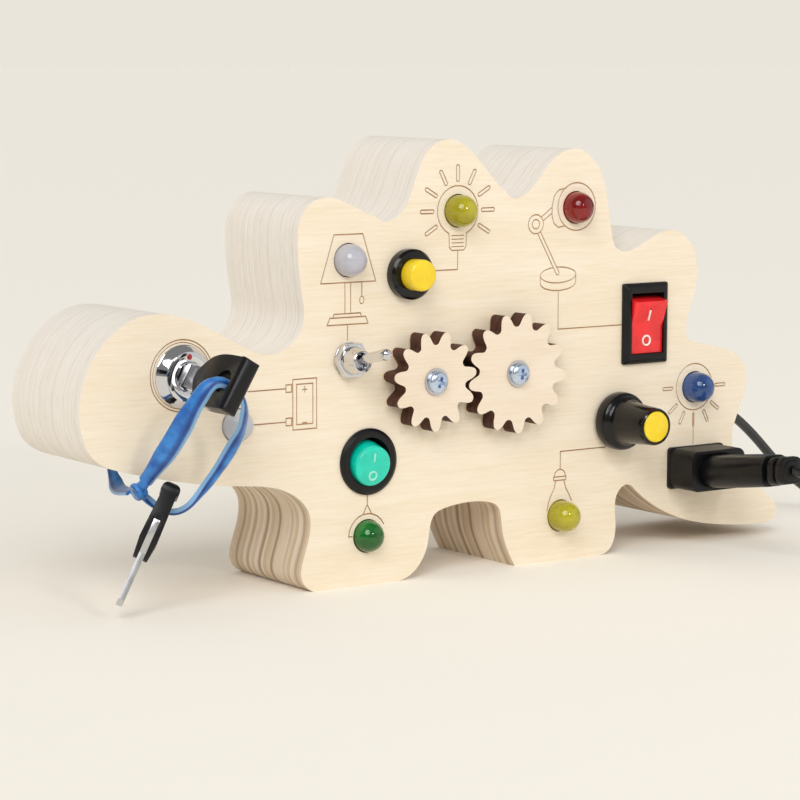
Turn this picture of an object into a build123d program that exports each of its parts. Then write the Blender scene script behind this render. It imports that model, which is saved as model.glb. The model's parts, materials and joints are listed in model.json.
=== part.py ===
"""Wooden busy board: a hollow plywood animal with switches, lamps, gears, a key and a plug.

Units are millimetres, +Z is up and the front faces -Y.  Shapes are drawn with the front
panel's outer face at y = 0 and moved by FRONT_Y when they are written.
"""
import math
import os

from build123d import *

# ---------------------------------------------------------------- board
PANEL_T = 3.0
LAYER_COUNT = 5
BOARD_DEPTH = 32.7
LAYER_T = (BOARD_DEPTH - 2 * PANEL_T) / LAYER_COUNT
BACK_Y = BOARD_DEPTH - PANEL_T
KEY_REACH = 26.5
FRONT_Y = (KEY_REACH - BOARD_DEPTH) / 2
MID_Y = BOARD_DEPTH / 2
ENGRAVE = 0.3
LINE_W = 0.34
SCREW_D = 3.0

# ---------------------------------------------------------------- lamps
LED_D = 8.0
LED_HOLE = LED_D + 0.2
LED_RIM_D = 9.2
LED_RIM_T = 1.2
TABLE_LAMP = (-32.7, 78.7)
BULB = (-0.7, 89.4)
DESK_LAMP = (35.7, 89.1)
STAR_LAMP = (75.4, 41.3)
PENDANT = (31.6, 11.5)
DOME_LAMP = (-27.2, 12.0)
CHARGE_LAMP = (-63.7, 41.5)
LAMPS = [TABLE_LAMP, BULB, DESK_LAMP, STAR_LAMP, PENDANT, DOME_LAMP, CHARGE_LAMP]

# ---------------------------------------------------------------- key switch
LOCK = (-78.4, 54.1)
LOCK_FACE = 3.1
LOCK_BASE_D = 14.4
LOCK_FACE_D = 11.7
LOCK_BARREL_D = 12.0
LOCK_CORE_D = 6.5
LOCK_CORE_FIT = 0.05
LOCK_BACK = 16.0
LOCK_NUT = 15.0
KEY_TILT = 31.0
BLADE_W = 5.5
BLADE_T = 1.5
BLADE_IN = 3.4
BOW_W = 13.0
BOW_T = 5.2
BOW_NEAR = 8.0
EYE_Y = KEY_REACH - 6.0
EYE_D = 5.4

# ---------------------------------------------------------------- lanyard
RIBBON_D = 2.4
KNOT_R = 3.4
KNOT = (-91.8, -3.1, 28.9)
SPARE_EYE = (-86.2, -4.0, 24.4)
SPARE_AXIS = (0.748, -0.520, -0.412)
SPARE_WIDTH = (0.456, 0.854, -0.251)
ANCHOR = (-88.0, MID_Y)

# ---------------------------------------------------------------- toggle switch
TOGGLE = (-32.6, 55.0)
TOGGLE_PIVOT = 3.1
TOGGLE_TIP = 17.2
TOGGLE_TILT = 12.0
TOGGLE_BUSH_D = 6.5
TOGGLE_BORE_D = 4.4
TOGGLE_BUSH = 6.2

# ---------------------------------------------------------------- push button
BUTTON = (-15.5, 74.7)
BUTTON_FLANGE_D = 12.2
BUTTON_FLANGE_T = 2.8
BUTTON_BODY_D = 10.0
BUTTON_CAP_D = 7.6
BUTTON_FACE = 6.9
BUTTON_TRAVEL = 2.5

# ---------------------------------------------------------------- rockers
RED_ROCKER = (58.1, 58.9)
RED_BEZEL = (14.6, 20.7)
RED_OPENING = (10.5, 15.5)
RED_BEZEL_T = 1.8
ROUND_ROCKER = (-27.1, 30.1)
ROUND_BEZEL_D = 16.1
ROUND_OPENING_D = 11.8
ROUND_BEZEL_T = 1.1
ROCKER_PIVOT = 3.0
ROCKER_TILT = 10.0

# ---------------------------------------------------------------- knob
KNOB = (49.3, 34.5)
KNOB_SKIRT_D = 14.8
KNOB_BASE_D = 11.0
KNOB_TOP_D = 9.4
KNOB_TIP = 16.4
KNOB_CAP_D = 7.9
SHAFT_D = 6.0

# ---------------------------------------------------------------- gears
SMALL_GEAR = (-10.8, 48.8)
LARGE_GEAR = (13.9, 49.2)
SMALL_TEETH = 11
SMALL_TIP_R = 12.2
SMALL_ROOT_R = 8.9
LARGE_TEETH = 13
LARGE_TIP_R = 14.9
LARGE_ROOT_R = 11.6
GEAR_T = 4.6
GEAR_BACK = 0.6
GEAR_BORE_D = 4.1
BUSH_D = 4.0
WAVE_STEPS = 16
TIP_FULLNESS = 1.3
GULLET_FULLNESS = 1.6

# ---------------------------------------------------------------- socket, plug, cord
SOCKET = (75.7, 20.6)
SOCKET_FLANGE = (18.4, 10.85)
SOCKET_REACH = 9.7
PLUG_W = 12.6
PLUG_H = 8.3
PLUG_NECK = 31.0
PLUG_END = 38.0
PIN_D = 2.4
PIN_PITCH = 6.6
CORD_D = 2.6
CORD_EXIT = (91.2, MID_Y, 34.0)
GROMMET_D = LAYER_T - 0.14

# ---------------------------------------------------------------- battery
BATTERY_D = 10.5
BATTERY_L = 44.5
COVER = (12.0, 48.0)
COVER_W = 56.0
COVER_H = 30.0


def save(name, *shapes):
    """Write one node, moved from the drawing position to the shared frame."""
    os.makedirs("parts", exist_ok=True)
    moved = [Pos(0, FRONT_Y, 0) * shape for shape in shapes]
    export_step(moved[0] if len(moved) == 1 else Compound(moved), f"parts/{name}.step")


def prism(sketch, y0, y1):
    """Extrude a sketch drawn in (X, Z) from depth y0 to depth y1."""
    plane = Plane(origin=(0, y1, 0), x_dir=(1, 0, 0), z_dir=(0, -1, 0))
    return extrude(plane * sketch, amount=y1 - y0)


def disc(at, d, y0, y1):
    """A cylinder along Y centred on at = (X, Z)."""
    return prism(Pos(at[0], at[1]) * Circle(d / 2), y0, y1)


def tube(at, outer, inner, y0, y1):
    """A sleeve along Y."""
    return disc(at, outer, y0, y1) - disc(at, inner, y0 - 1, y1 + 1)


def block(x0, x1, y0, y1, z0, z1):
    """An axis-aligned box."""
    return Pos((x0 + x1) / 2, (y0 + y1) / 2, (z0 + z1) / 2) * Box(x1 - x0, y1 - y0, z1 - z0)


def slab(at, w, h, y0, y1, r=0.0):
    """A box, round-cornered when r is given, centred on at = (X, Z)."""
    sketch = RectangleRounded(w, h, r) if r else Rectangle(w, h)
    return prism(Pos(at[0], at[1]) * sketch, y0, y1)


def cone(at, d0, d1, y0, y1):
    """A truncated cone along Y, d0 wide at y0 and d1 wide at y1."""
    wide = Plane(origin=(at[0], y0, at[1]), z_dir=(0, 1, 0)) * Circle(d0 / 2)
    thin = Plane(origin=(at[0], y1, at[1]), z_dir=(0, 1, 0)) * Circle(d1 / 2)
    return loft([wide, thin])


def hex_nut(at, across, bore, y0, y1):
    """A hexagon nut along Y."""
    sketch = Pos(at[0], at[1]) * RegularPolygon(across / 2, 6, major_radius=False)
    return prism(sketch, y0, y1) - disc(at, bore, y0 - 1, y1 + 1)


def stroke(*points, width=LINE_W):
    """A line of the engraved drawing, as a sketch in (X, Z)."""
    pen = Sketch()
    for a, b in zip(points, points[1:]):
        mid = ((a[0] + b[0]) / 2, (a[1] + b[1]) / 2)
        angle = math.degrees(math.atan2(b[1] - a[1], b[0] - a[0]))
        length = math.dist(a, b)
        pen += Pos(*mid) * Rot(0, 0, angle) * SlotCenterToCenter(length, width)
    return pen


def ring(at, r, width=LINE_W):
    """A circle of the engraved drawing."""
    return Pos(*at) * (Circle(r + width / 2) - Circle(r - width / 2))


def arc_stroke(at, r, start, sweep, width=LINE_W):
    """An arc of the engraved drawing."""
    steps = max(2, round(abs(sweep) / 15))
    turn = [math.radians(start + sweep * i / steps) for i in range(steps + 1)]
    return stroke(*[(at[0] + r * math.cos(t), at[1] + r * math.sin(t)) for t in turn], width=width)


def cord(points, d):
    """A round cord along straight runs joined by arcs; returns the solid and its radii."""
    runs = [math.dist(a, b) for a, b in zip(points, points[1:])]
    radii = []
    for i in range(1, len(points) - 1):
        a = (Vector(*points[i]) - Vector(*points[i - 1])).normalized()
        b = (Vector(*points[i + 1]) - Vector(*points[i])).normalized()
        half = math.acos(max(-1.0, min(1.0, a.dot(b)))) / 2
        radii.append(0.45 * min(runs[i - 1], runs[i]) / math.tan(half))
    path = FilletPolyline(*points, radius=radii)
    start = Plane(origin=path @ 0, z_dir=path % 0)
    return sweep(start * Circle(d / 2), path=path), radii, path.length


# ================================================================ board
def outline():
    """The animal's silhouette, clockwise from the chin."""
    head = Spline((-104, 40.8), (-105, 46.3), (-102.7, 56.8), (-96.7, 64.3), (-89.7, 68), (-83.7, 68.5),
                  (-72.7, 65.3), (-62.7, 60.1), (-53.7, 57.5), (-47.7, 60.6), (-45.5, 69.3))
    plate_1 = Spline((-45.5, 69.3), (-46.4, 75.3), (-46.9, 82.3), (-45, 90.8), (-40.2, 93.6),
                     (-32.7, 92.1), (-24.7, 88.7))
    plate_2 = Spline((-24.7, 88.7), (-21.7, 87.4), (-16.7, 90.3), (-12.7, 98.8), (-8.2, 105.3),
                     (-2.7, 106.7), (4.3, 102.8), (14.3, 93.3))
    plate_3 = Spline((14.3, 93.3), (16.3, 91.9), (19.3, 92.5), (28.3, 101.1), (36.3, 103.7),
                     (42.3, 99.8), (46.4, 87.3), (48.3, 78.9))
    plate_4 = Spline((48.3, 78.9), (50.8, 77.6), (59.3, 80.1), (67.3, 82.3), (73.3, 79.1),
                     (75.8, 72.3), (74.5, 64.3), (72.4, 56.3), (73.1, 53.9))
    rump = Spline((73.1, 53.9), (77.3, 52.5), (87.3, 50.1), (92.7, 45.8), (92.6, 38.3), (88.7, 27.3),
                  (91.3, 19.3), (99.3, 12.5))
    tail = Spline((99.3, 12.5), (103.6, 8.9), (104.9, 6.3), (104, 4.2), (100.8, 3.2), (90.3, 3.6),
                  (72.3, 6.8), (62.3, 11.3), (54.8, 17))
    hind = Spline((54.8, 17), (52.3, 17.4), (50.5, 16.1), (49.6, 6.3), (48.3, 2), (44.3, 0))
    arch = Spline((17.3, 0), (15.8, 2.8), (13.3, 9.8), (11.9, 15.6), (7.3, 17.3), (-2.7, 17),
                  (-7.3, 15.4), (-9.5, 7.8), (-11.7, 3.6), (-17.7, 0))
    fore = Spline((-42.7, 0), (-46.1, 3.8), (-44.7, 10.3), (-44, 19.3), (-48.7, 24), (-63.2, 27.2),
                  (-92.7, 32.7), (-101.7, 36.8), (-104, 40.8))
    hind_foot = Line((44.3, 0), (17.3, 0))
    fore_foot = Line((-17.7, 0), (-42.7, 0))
    edge = [head, plate_1, plate_2, plate_3, plate_4, rump, tail, hind, hind_foot, arch, fore_foot, fore]
    return make_face(Wire(edge))


def hollow():
    """The frame's cavity, about 6 mm inside the silhouette, with room behind each fitting."""
    cavity = make_face(Polyline(
        (-99, 43), (-96, 55), (-88, 62), (-79, 61.5), (-65, 54), (-53, 51), (-43, 55), (-39.5, 66),
        (-40.5, 78), (-39, 87), (-24, 82), (-13, 84.5), (-8, 95), (-4, 100), (1, 97), (9, 88), (16, 85.5),
        (24, 88), (31, 95), (37, 97), (40, 88), (42.5, 76), (51, 71), (65, 75.5), (69, 71), (66, 55),
        (68, 48), (84, 44), (86.5, 41), (82, 27), (84, 19), (91, 10), (80, 11.5), (68, 16.5),
        (58, 23), (46, 21), (43.5, 8), (42, 6.2), (22, 6.2), (18.5, 18), (14, 23), (-6, 23),
        (-13, 18), (-16, 9), (-19, 6.2), (-39, 6.2), (-38, 21), (-44, 29.5), (-62, 33.5), (-90, 39), close=True))
    for at in LAMPS:
        cavity += Pos(*at) * Circle(LED_RIM_D / 2 + 0.4)
    cavity += Pos(*LOCK) * Circle(LOCK_NUT / math.sqrt(3) + 0.3)
    cavity += Pos(*SOCKET) * Rectangle(15.7, 9.1)
    return cavity


def holes():
    """Every opening cut through the front panel."""
    cut = Sketch()
    for at in LAMPS:
        cut += Pos(*at) * Circle(LED_HOLE / 2)
    cut += Pos(*LOCK) * Circle(LOCK_BARREL_D / 2 + 0.05)
    cut += Pos(*TOGGLE) * Circle(TOGGLE_BUSH_D / 2 + 0.05)
    cut += Pos(*BUTTON) * Circle(BUTTON_BODY_D / 2 + 0.05)
    cut += Pos(*ROUND_ROCKER) * Circle(ROUND_OPENING_D / 2 + 1.05)
    cut += Pos(*RED_ROCKER) * Rectangle(RED_OPENING[0] + 2.1, RED_OPENING[1] + 2.1)
    cut += Pos(*KNOB) * Circle(3.55)
    cut += Pos(*SMALL_GEAR) * Circle(SCREW_D / 2)
    cut += Pos(*LARGE_GEAR) * Circle(SCREW_D / 2)
    cut += Pos(*SOCKET) * Rectangle(15.0, 8.4)
    return cut


def slot_line(a, b, width, line=LINE_W):
    """The outline of a round-ended bar from a to b."""
    mid = ((a[0] + b[0]) / 2, (a[1] + b[1]) / 2)
    angle = math.degrees(math.atan2(b[1] - a[1], b[0] - a[0]))
    length = math.dist(a, b)
    bar = SlotCenterToCenter(length, width) - SlotCenterToCenter(length, width - 2 * line)
    return Pos(*mid) * Rot(0, 0, angle) * bar


def frame_line(at, w, h, line=LINE_W):
    """The outline of a rectangle."""
    return Pos(*at) * (Rectangle(w, h) - Rectangle(w - 2 * line, h - 2 * line))


def rays(at, turns, near, far, width):
    """Round-ended rays about a lamp."""
    ink = Sketch()
    for turn in turns:
        ink += Pos(*at) * Rot(0, 0, turn) * slot_line((near, 0), (far, 0), width)
    return ink


def draw_battery():
    """The cell in its holder, with two wires to the key switch."""
    ink = ring(LOCK, 8.3) + ring(LOCK, 7.65, 0.25)
    ink += frame_line((-45, 45.25), 7.0, 12.3) + frame_line((-45, 45.25), 4.9, 9.9)
    for z in (49.2, 41.3):
        ink += stroke((-60.7, z), (-50.4, z)) + frame_line((-49.45, z), 1.9, 2.1)
        ink += stroke((-45.6, z - 0.5), (-44.4, z - 0.5))
    ink += stroke((-45.0, 48.1), (-45.0, 49.3))
    return ink


def draw_table_lamp():
    """The table lamp: shade, post, pull cord and a stepped foot."""
    ink = stroke((-36.7, 84.8), (-28.5, 84.8), (-24.8, 73.4), (-40.5, 73.4), (-36.7, 84.8))
    ink += stroke((-33.6, 73.3), (-33.6, 66.0)) + stroke((-32.0, 73.3), (-32.0, 66.0))
    ink += stroke((-37.0, 65.1), (-36.7, 66.0), (-29.2, 66.0), (-28.9, 65.1))
    ink += stroke((-37.9, 65.1), (-38.7, 63.4), (-27.0, 63.4), (-27.7, 65.1), (-37.9, 65.1))
    ink += stroke((-28.8, 73.3), (-28.8, 70.0))
    ink += Pos(-28.8, 69.05) * (Ellipse(0.75, 1.05) - Ellipse(0.45, 0.75))
    ink += stroke((-32.9, 63.3), (-32.9, 59.6))
    return ink


def draw_bulb():
    """The light bulb with its rays, wired to the push button."""
    ink = arc_stroke(BULB, 6.08, -64.7, 309.4)
    ink += stroke((-3.3, 83.9), (-3.2, 80.6), (-2.5, 79.8), (1.1, 79.8), (1.8, 80.6), (1.9, 83.9))
    for z in (83.4, 82.5, 81.6, 80.7):
        ink += stroke((-2.5, z), (1.1, z), width=0.26)
    ink += rays(BULB, (90, 62, 118, 30, 150, 0, 180, -30, 210), 7.5, 10.7, 1.2)
    ink += stroke((-0.7, 79.8), (-0.7, 75.1), (-9.0, 75.1))
    return ink


def draw_desk_lamp():
    """The desk lamp: shade, jointed arm and round foot, wired to the rocker switch."""
    ink = ring((36, 89.3), 5.95)
    ink += stroke((32.7, 94.0), (30.4, 93.6), (28.9, 92.2), (28.3, 89.9), (28.2, 87.4), (28.8, 85.4), (30.2, 84.3),
                  (32.4, 84.6))
    ink += ring((23.2, 85.3), 2.35) + ring((23.2, 85.3), 1.15)
    ink += stroke((24.9, 87.0), (28.3, 89.4)) + stroke((25.4, 86.0), (28.3, 88.0))
    ink += slot_line((23.9, 83.7), (30.1, 72.9), 1.3) - Pos(23.2, 85.3) * Circle(2.35)
    ink += Pos(30.3, 72.4) * (Ellipse(5.75, 2.15) - Ellipse(5.41, 1.81)) - slot_line((27, 78.3), (30.1, 72.9), 0.8, 0.38)
    turns = [math.radians(180 + 15 * step) for step in range(13)]
    ink += stroke((24.7, 72.4), *[(30.3 + 5.6 * math.cos(t), 70.5 + 2.0 * math.sin(t)) for t in turns], (35.9, 72.4))
    ink += stroke((30.4, 68.4), (30.4, 58.8), (50.8, 58.8))
    return ink


def draw_pendant():
    """The pendant bulb, wired to the dial."""
    ink = stroke((46.0, 27.8), (31.5, 27.8), (31.5, 23.5))
    ink += arc_stroke((31.4, 21.5), 1.75, 0, 180)
    ink += stroke((29.4, 21.4), (33.4, 21.4)) + stroke((29.5, 20.5), (33.3, 20.5))
    ink += stroke((29.4, 21.4), (29.5, 20.5)) + stroke((33.4, 21.4), (33.3, 20.5))
    ink += stroke((30.1, 20.4), (29.6, 18.4), (28.5, 16.6), (27.8, 14.9), (27.4, 13.0))
    ink += stroke((32.7, 20.4), (33.3, 18.4), (34.4, 16.6), (35.2, 15.0))
    return ink


def draw_dome():
    """The dome lamp on its hook, under the round switch."""
    ink = stroke((-27.2, 22.0), (-27.2, 19.6), (-28.3, 17.5)) + stroke((-27.2, 19.6), (-26.0, 17.4))
    ink += arc_stroke(DOME_LAMP, 5.4, 28, 150)
    ink += stroke((-32.6, 12.2), (-31.5, 12.2))
    return ink


def draw_star():
    """The round lamp with its rays, wired to the charging socket."""
    ink = ring(STAR_LAMP, 6.05)
    ink += rays(STAR_LAMP, (0, 180, -37, 217, -63, 243), 7.5, 10.2, 1.1)
    ink += stroke((75.3, 34.2), (75.3, 31.2), width=0.9) + stroke((75.3, 31.2), (75.3, 26.4))
    return ink


def drawing():
    """The engraved circuit drawing on the front face."""
    ink = draw_battery() + draw_table_lamp() + draw_bulb() + draw_desk_lamp()
    return ink + draw_pendant() + draw_dome() + draw_star()


animal = outline()
frame_section = animal - hollow()
front_panel = prism(animal - holes(), 0, PANEL_T)
front_panel -= prism(drawing(), -1, ENGRAVE)
save("front_panel", front_panel)
cord_tunnel = Pos(*CORD_EXIT) * Rot(0, 90, 0) * Cylinder(GROMMET_D / 2, 22)
tether_hole = Pos(ANCHOR[0], ANCHOR[1], 33) * Cylinder(RIBBON_D / 2 + 0.5, 26)
for layer in range(LAYER_COUNT):
    near = PANEL_T + layer * LAYER_T
    frame_layer = prism(frame_section, near, near + LAYER_T)
    save(f"frame_layer_{layer + 1}", frame_layer - cord_tunnel - tether_hole)

# ---------------------------------------------------------------- back and battery
COVER_SCREWS = [(COVER[0] + side * (COVER_W / 2 + 4), COVER[1]) for side in (-1, 1)]


def countersunk(at, y_face, length, head_d):
    """The envelope of a countersunk screw driven from the back toward -Y."""
    shank = disc(at, SCREW_D - 0.6, y_face - length, y_face - 1.2)
    return shank + cone(at, SCREW_D - 0.6, head_d, y_face - 1.3, y_face)


def cross_slot(at, y0, y1):
    """The recess of a cross-head screw."""
    return slab(at, 2.6, 0.6, y0, y1) + slab(at, 0.6, 2.6, y0, y1)


opening = slab(COVER, COVER_W, COVER_H, BACK_Y - 1, BOARD_DEPTH + 1, 2.0)
cover_seat = slab(COVER, COVER_W + 16, COVER_H, BOARD_DEPTH - 1.5, BOARD_DEPTH + 1, 2.0)
back_panel = prism(animal, BACK_Y, BOARD_DEPTH) - opening - cover_seat
cover_screws = [countersunk(at, BOARD_DEPTH, 2.9, 4.6) for at in COVER_SCREWS]
for screw in cover_screws:
    back_panel -= screw
save("back_panel", back_panel)
cover = slab(COVER, COVER_W + 15.6, COVER_H - 0.4, BOARD_DEPTH - 1.5, BOARD_DEPTH, 1.8)
cover -= slab(COVER, 30, 1.2, BOARD_DEPTH - 0.4, BOARD_DEPTH + 1)
for screw in cover_screws:
    cover -= screw
save("battery_cover", cover)
cross_y = BOARD_DEPTH - 0.8
save("battery_cover_screws", *[c - cross_slot(at, cross_y, BOARD_DEPTH + 1) for c, at in zip(cover_screws, COVER_SCREWS)])

BOX_BACK = BOARD_DEPTH - 1.6
BOX_FRONT = BOX_BACK - 12.6
battery_box = slab(COVER, COVER_W - 1, COVER_H - 1, BOX_FRONT, BOX_BACK, 1.5)
battery_box -= slab(COVER, BATTERY_L + 4.4, 2 * BATTERY_D + 4.0, BOX_FRONT + 1.0, BOX_BACK + 1)
save("battery_box", battery_box)
cells = []
contacts = []
for side in (-1, 1):
    z = COVER[1] + side * (BATTERY_D / 2 + 0.8)
    y = BOX_FRONT + 1.0 + BATTERY_D / 2
    half = BATTERY_L / 2
    can = Pos(COVER[0], y, z) * Rot(0, 90, 0) * Cylinder(BATTERY_D / 2, BATTERY_L - 1.0)
    nub = Pos(COVER[0] + side * (half - 0.25), y, z) * Rot(0, 90, 0) * Cylinder(1.9, 0.5)
    cells.append(can + nub)
    for end in (-1, 1):
        reach = half if end == side else half - 0.5
        plate_edge = COVER[0] + end * (half + 2.2)
        pad_edge = COVER[0] + end * reach
        pad = block(min(pad_edge, plate_edge), max(pad_edge, plate_edge), y - 2, y + 2, z - 2, z + 2)
        contacts.append(pad)
save("batteries", *cells)
save("battery_contacts", *contacts)

# ================================================================ lamps
def led(at, proud):
    """An 8 mm round lamp: domed lens, body and a rim behind the panel."""
    body = disc(at, LED_D, -proud, PANEL_T + LED_RIM_T)
    rim = disc(at, LED_RIM_D, PANEL_T, PANEL_T + LED_RIM_T)
    dome = Pos(at[0], -proud, at[1]) * Sphere(LED_D / 2)
    legs = Sketch()
    for dx in (-1.27, 1.27):
        legs += Pos(at[0] + dx, at[1]) * Rectangle(0.5, 0.5)
    dome -= disc(at, LED_D + 2, -proud, 10)
    return body + rim + dome + prism(legs, PANEL_T + LED_RIM_T, PANEL_T + LED_RIM_T + 6)


save("led_table_lamp", led(TABLE_LAMP, 1.2))
save("led_bulb", led(BULB, 1.8))
save("led_desk_lamp", led(DESK_LAMP, 1.2))
save("led_star", led(STAR_LAMP, 2.2))
save("led_pendant", led(PENDANT, 2.2))
save("led_dome", led(DOME_LAMP, 0.5))
save("led_charge", led(CHARGE_LAMP, 0.0))

# ================================================================ key switch
def lean(shape, at=LOCK):
    """Turn a shape drawn upright on X = 0, Z = 0 to the key's lean and set it on the lock."""
    return Pos(at[0], 0, at[1]) * Rot(0, KEY_TILT, 0) * shape


core_hole = disc(LOCK, LOCK_CORE_D + 2 * LOCK_CORE_FIT, -LOCK_FACE - 1, LOCK_BACK + 1)
lock_housing = cone(LOCK, LOCK_BASE_D, LOCK_FACE_D, 0, -LOCK_FACE) + disc(LOCK, LOCK_BARREL_D, 0, LOCK_BACK)
lock_housing -= core_hole
lock_housing -= disc((LOCK[0] + 0.25, LOCK[1] + 4.6), 1.3, -LOCK_FACE - 1, -LOCK_FACE + 0.3)
save("lock_housing", lock_housing)
slot = lean(block(-0.85, 0.85, -LOCK_FACE - 1, BLADE_IN + 0.4, -BLADE_W / 2 - 0.1, BLADE_W / 2 + 0.1))
tail_bar = lean(block(-0.9, 0.9, LOCK_BACK + 0.2, LOCK_BACK + 3.5, -2.2, 2.2))
lock_cylinder = disc(LOCK, LOCK_CORE_D, -LOCK_FACE - 0.1, LOCK_BACK + 0.2) - slot + tail_bar
save("lock_cylinder", lock_cylinder)
save("lock_nut", hex_nut(LOCK, LOCK_NUT, LOCK_BARREL_D, PANEL_T, PANEL_T + 2.4))
contact_block = disc(LOCK, 13.0, LOCK_BACK, LOCK_BACK + 6) - disc(LOCK, 8.0, LOCK_BACK - 1, LOCK_BACK + 4)
for dz in (-3.5, 3.5):
    contact_block += slab((LOCK[0], LOCK[1] + dz), 2.4, 0.6, LOCK_BACK + 6, LOCK_BACK + 10)
save("lock_contact_block", contact_block)


def bow_outline():
    """The grip's outline in (Y, Z): a D that is round toward the lock."""
    end = -KEY_REACH
    nose = -BOW_NEAR
    half = BOW_W / 2
    back = Polyline((end + 5, -half), (end, -half), (end, half), (end + 5, half))
    front = Spline((end + 5, half), (nose - 2.6, half / 2 + 0.5), (nose, 0), (nose - 2.6, -half / 2 - 0.5),
                   (end + 5, -half), tangents=((1, 0), (-1, 0)))
    return make_face([*back.edges(), front])


def bow_shape():
    """The plastic grip, with a thicker bar across its end and the eye for the ribbon."""
    grip_body = extrude(Plane.YZ * bow_outline(), amount=BOW_T / 2 - 0.5, both=True)
    bar = Pos(0, 1.25 - KEY_REACH, 0) * Box(BOW_T, 2.5, BOW_W)
    eye = Pos(0, -EYE_Y, 0) * Rot(0, 90, 0) * Cylinder(EYE_D / 2, 20)
    return grip_body + bar - eye


def blade_shape():
    """The metal blade with a plate inside the grip that shows along the grip's round edge."""
    tip = BLADE_IN
    plate_end = EYE_D / 2 + 0.4 - EYE_Y
    half = BLADE_W / 2
    profile = Polyline((-BOW_NEAR - 2, -half + 0.15), (tip - 1.4, -half + 0.15), (tip, -1.4), (tip, 0.6),
                       (tip - 1.6, half), (-BOW_NEAR - 2, half), close=True)
    window = Pos((plate_end - BOW_NEAR) / 2, 0) * Rectangle(-BOW_NEAR - plate_end, 2 * BOW_W)
    blade = extrude(Plane.YZ * make_face(profile), amount=BLADE_T / 2, both=True)
    blade += extrude(Plane.YZ * (bow_outline() & window), amount=BLADE_T / 2, both=True)
    for y in (tip - 4.4, tip - 2.2):
        blade -= Pos(0, y, half) * Rot(0, 90, 0) * Cylinder(0.6, 4)
    return blade


grip = bow_shape() - blade_shape()
save("key_blade", lean(blade_shape()))
save("key_bow", lean(grip))

# ---------------------------------------------------------------- spare key
HANG = Plane(origin=SPARE_EYE, x_dir=SPARE_AXIS, z_dir=SPARE_WIDTH)
save("spare_key_blade", HANG.location * Pos(0, EYE_Y, 0) * blade_shape())
save("spare_key_bow", HANG.location * Pos(0, EYE_Y, 0) * grip)

# ---------------------------------------------------------------- lanyard
lean_x = math.cos(math.radians(KEY_TILT))
lean_z = math.sin(math.radians(KEY_TILT))


def along_eye(s):
    """A point s millimetres along the key eye's axis."""
    return (LOCK[0] + lean_x * s, -EYE_Y, LOCK[1] - lean_z * s)


def along_spare(s):
    """A point s millimetres along the spare key eye's axis."""
    return tuple(c + s * a for c, a in zip(SPARE_EYE, SPARE_AXIS))


loop_route = [(-91.3, -5.3, 31.3), (-89.9, -9.6, 36.2), (-88.3, -14.0, 42.0), (-86.3, -18.3, 49.6), along_eye(-4.2),
              along_eye(4.2), (-72.2, -17.5, 45.0), (-73.2, -12.5, 37.5), (-76.6, -8.2, 29.6), along_spare(4.2),
              along_spare(-3.6), KNOT]
loop, loop_radii, loop_length = cord(loop_route, RIBBON_D)
print("lanyard_loop radii", [round(r, 2) for r in loop_radii], "length", round(loop_length, 1))
save("lanyard_loop", loop)
knot = Pos(*KNOT) * Sphere(KNOT_R) - loop
save("lanyard_knot", knot)
tether_route = [(-91.75, 0.7, 28.4), (-90.9, 6.2, 27.6), (-88.9, 12.3, 27.6), (ANCHOR[0], ANCHOR[1], 31.0),
                (ANCHOR[0], ANCHOR[1] + 0.05, 38.2), (-86.6, ANCHOR[1] + 1.25, 44.9)]
tether, tether_radii, tether_length = cord(tether_route, RIBBON_D)
print("lanyard_tether radii", [round(r, 2) for r in tether_radii], "length", round(tether_length, 1))
save("lanyard_tether", tether)

# ================================================================ toggle switch
bush_end = PANEL_T + 0.6
pin_line = Pos(TOGGLE[0], -TOGGLE_PIVOT, TOGGLE[1]) * Rot(0, 90, 0)
toggle_bushing = tube(TOGGLE, TOGGLE_BUSH_D, TOGGLE_BORE_D, -TOGGLE_BUSH, bush_end)
toggle_bushing -= pin_line * Cylinder(0.55, TOGGLE_BUSH_D - 0.6)
save("toggle_bushing", toggle_bushing)
toggle_body = slab(TOGGLE, 8.0, 13.0, PANEL_T, PANEL_T + 9.5, 0.6) - disc(TOGGLE, TOGGLE_BUSH_D, 0, bush_end)
for dz in (-4.7, 0, 4.7):
    toggle_body += slab((TOGGLE[0], TOGGLE[1] + dz), 2.0, 0.8, PANEL_T + 9.5, PANEL_T + 13.5)
save("toggle_body", toggle_body)
save("toggle_washer", tube(TOGGLE, 8.4, TOGGLE_BUSH_D, -0.5, 0))
save("toggle_nut", hex_nut(TOGGLE, 8.0, TOGGLE_BUSH_D, -2.3, -0.5))
arm = cone(TOGGLE, 2.6, 2.3, 1.3 - TOGGLE_TIP, -TOGGLE_PIVOT)
arm += Pos(TOGGLE[0], 1.3 - TOGGLE_TIP, TOGGLE[1]) * Sphere(1.3)
arm += Pos(TOGGLE[0], -TOGGLE_PIVOT, TOGGLE[1]) * Sphere(TOGGLE_BORE_D / 2 - 0.05)
arm += disc(TOGGLE, 1.8, -TOGGLE_PIVOT, -TOGGLE_PIVOT + 4.5)
arm += pin_line * Cylinder(0.5, TOGGLE_BUSH_D - 0.8)
pivot = Pos(TOGGLE[0], -TOGGLE_PIVOT, TOGGLE[1])
save("toggle_lever", pivot * Rot(-TOGGLE_TILT, 0, 0) * pivot.inverse() * arm)

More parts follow.
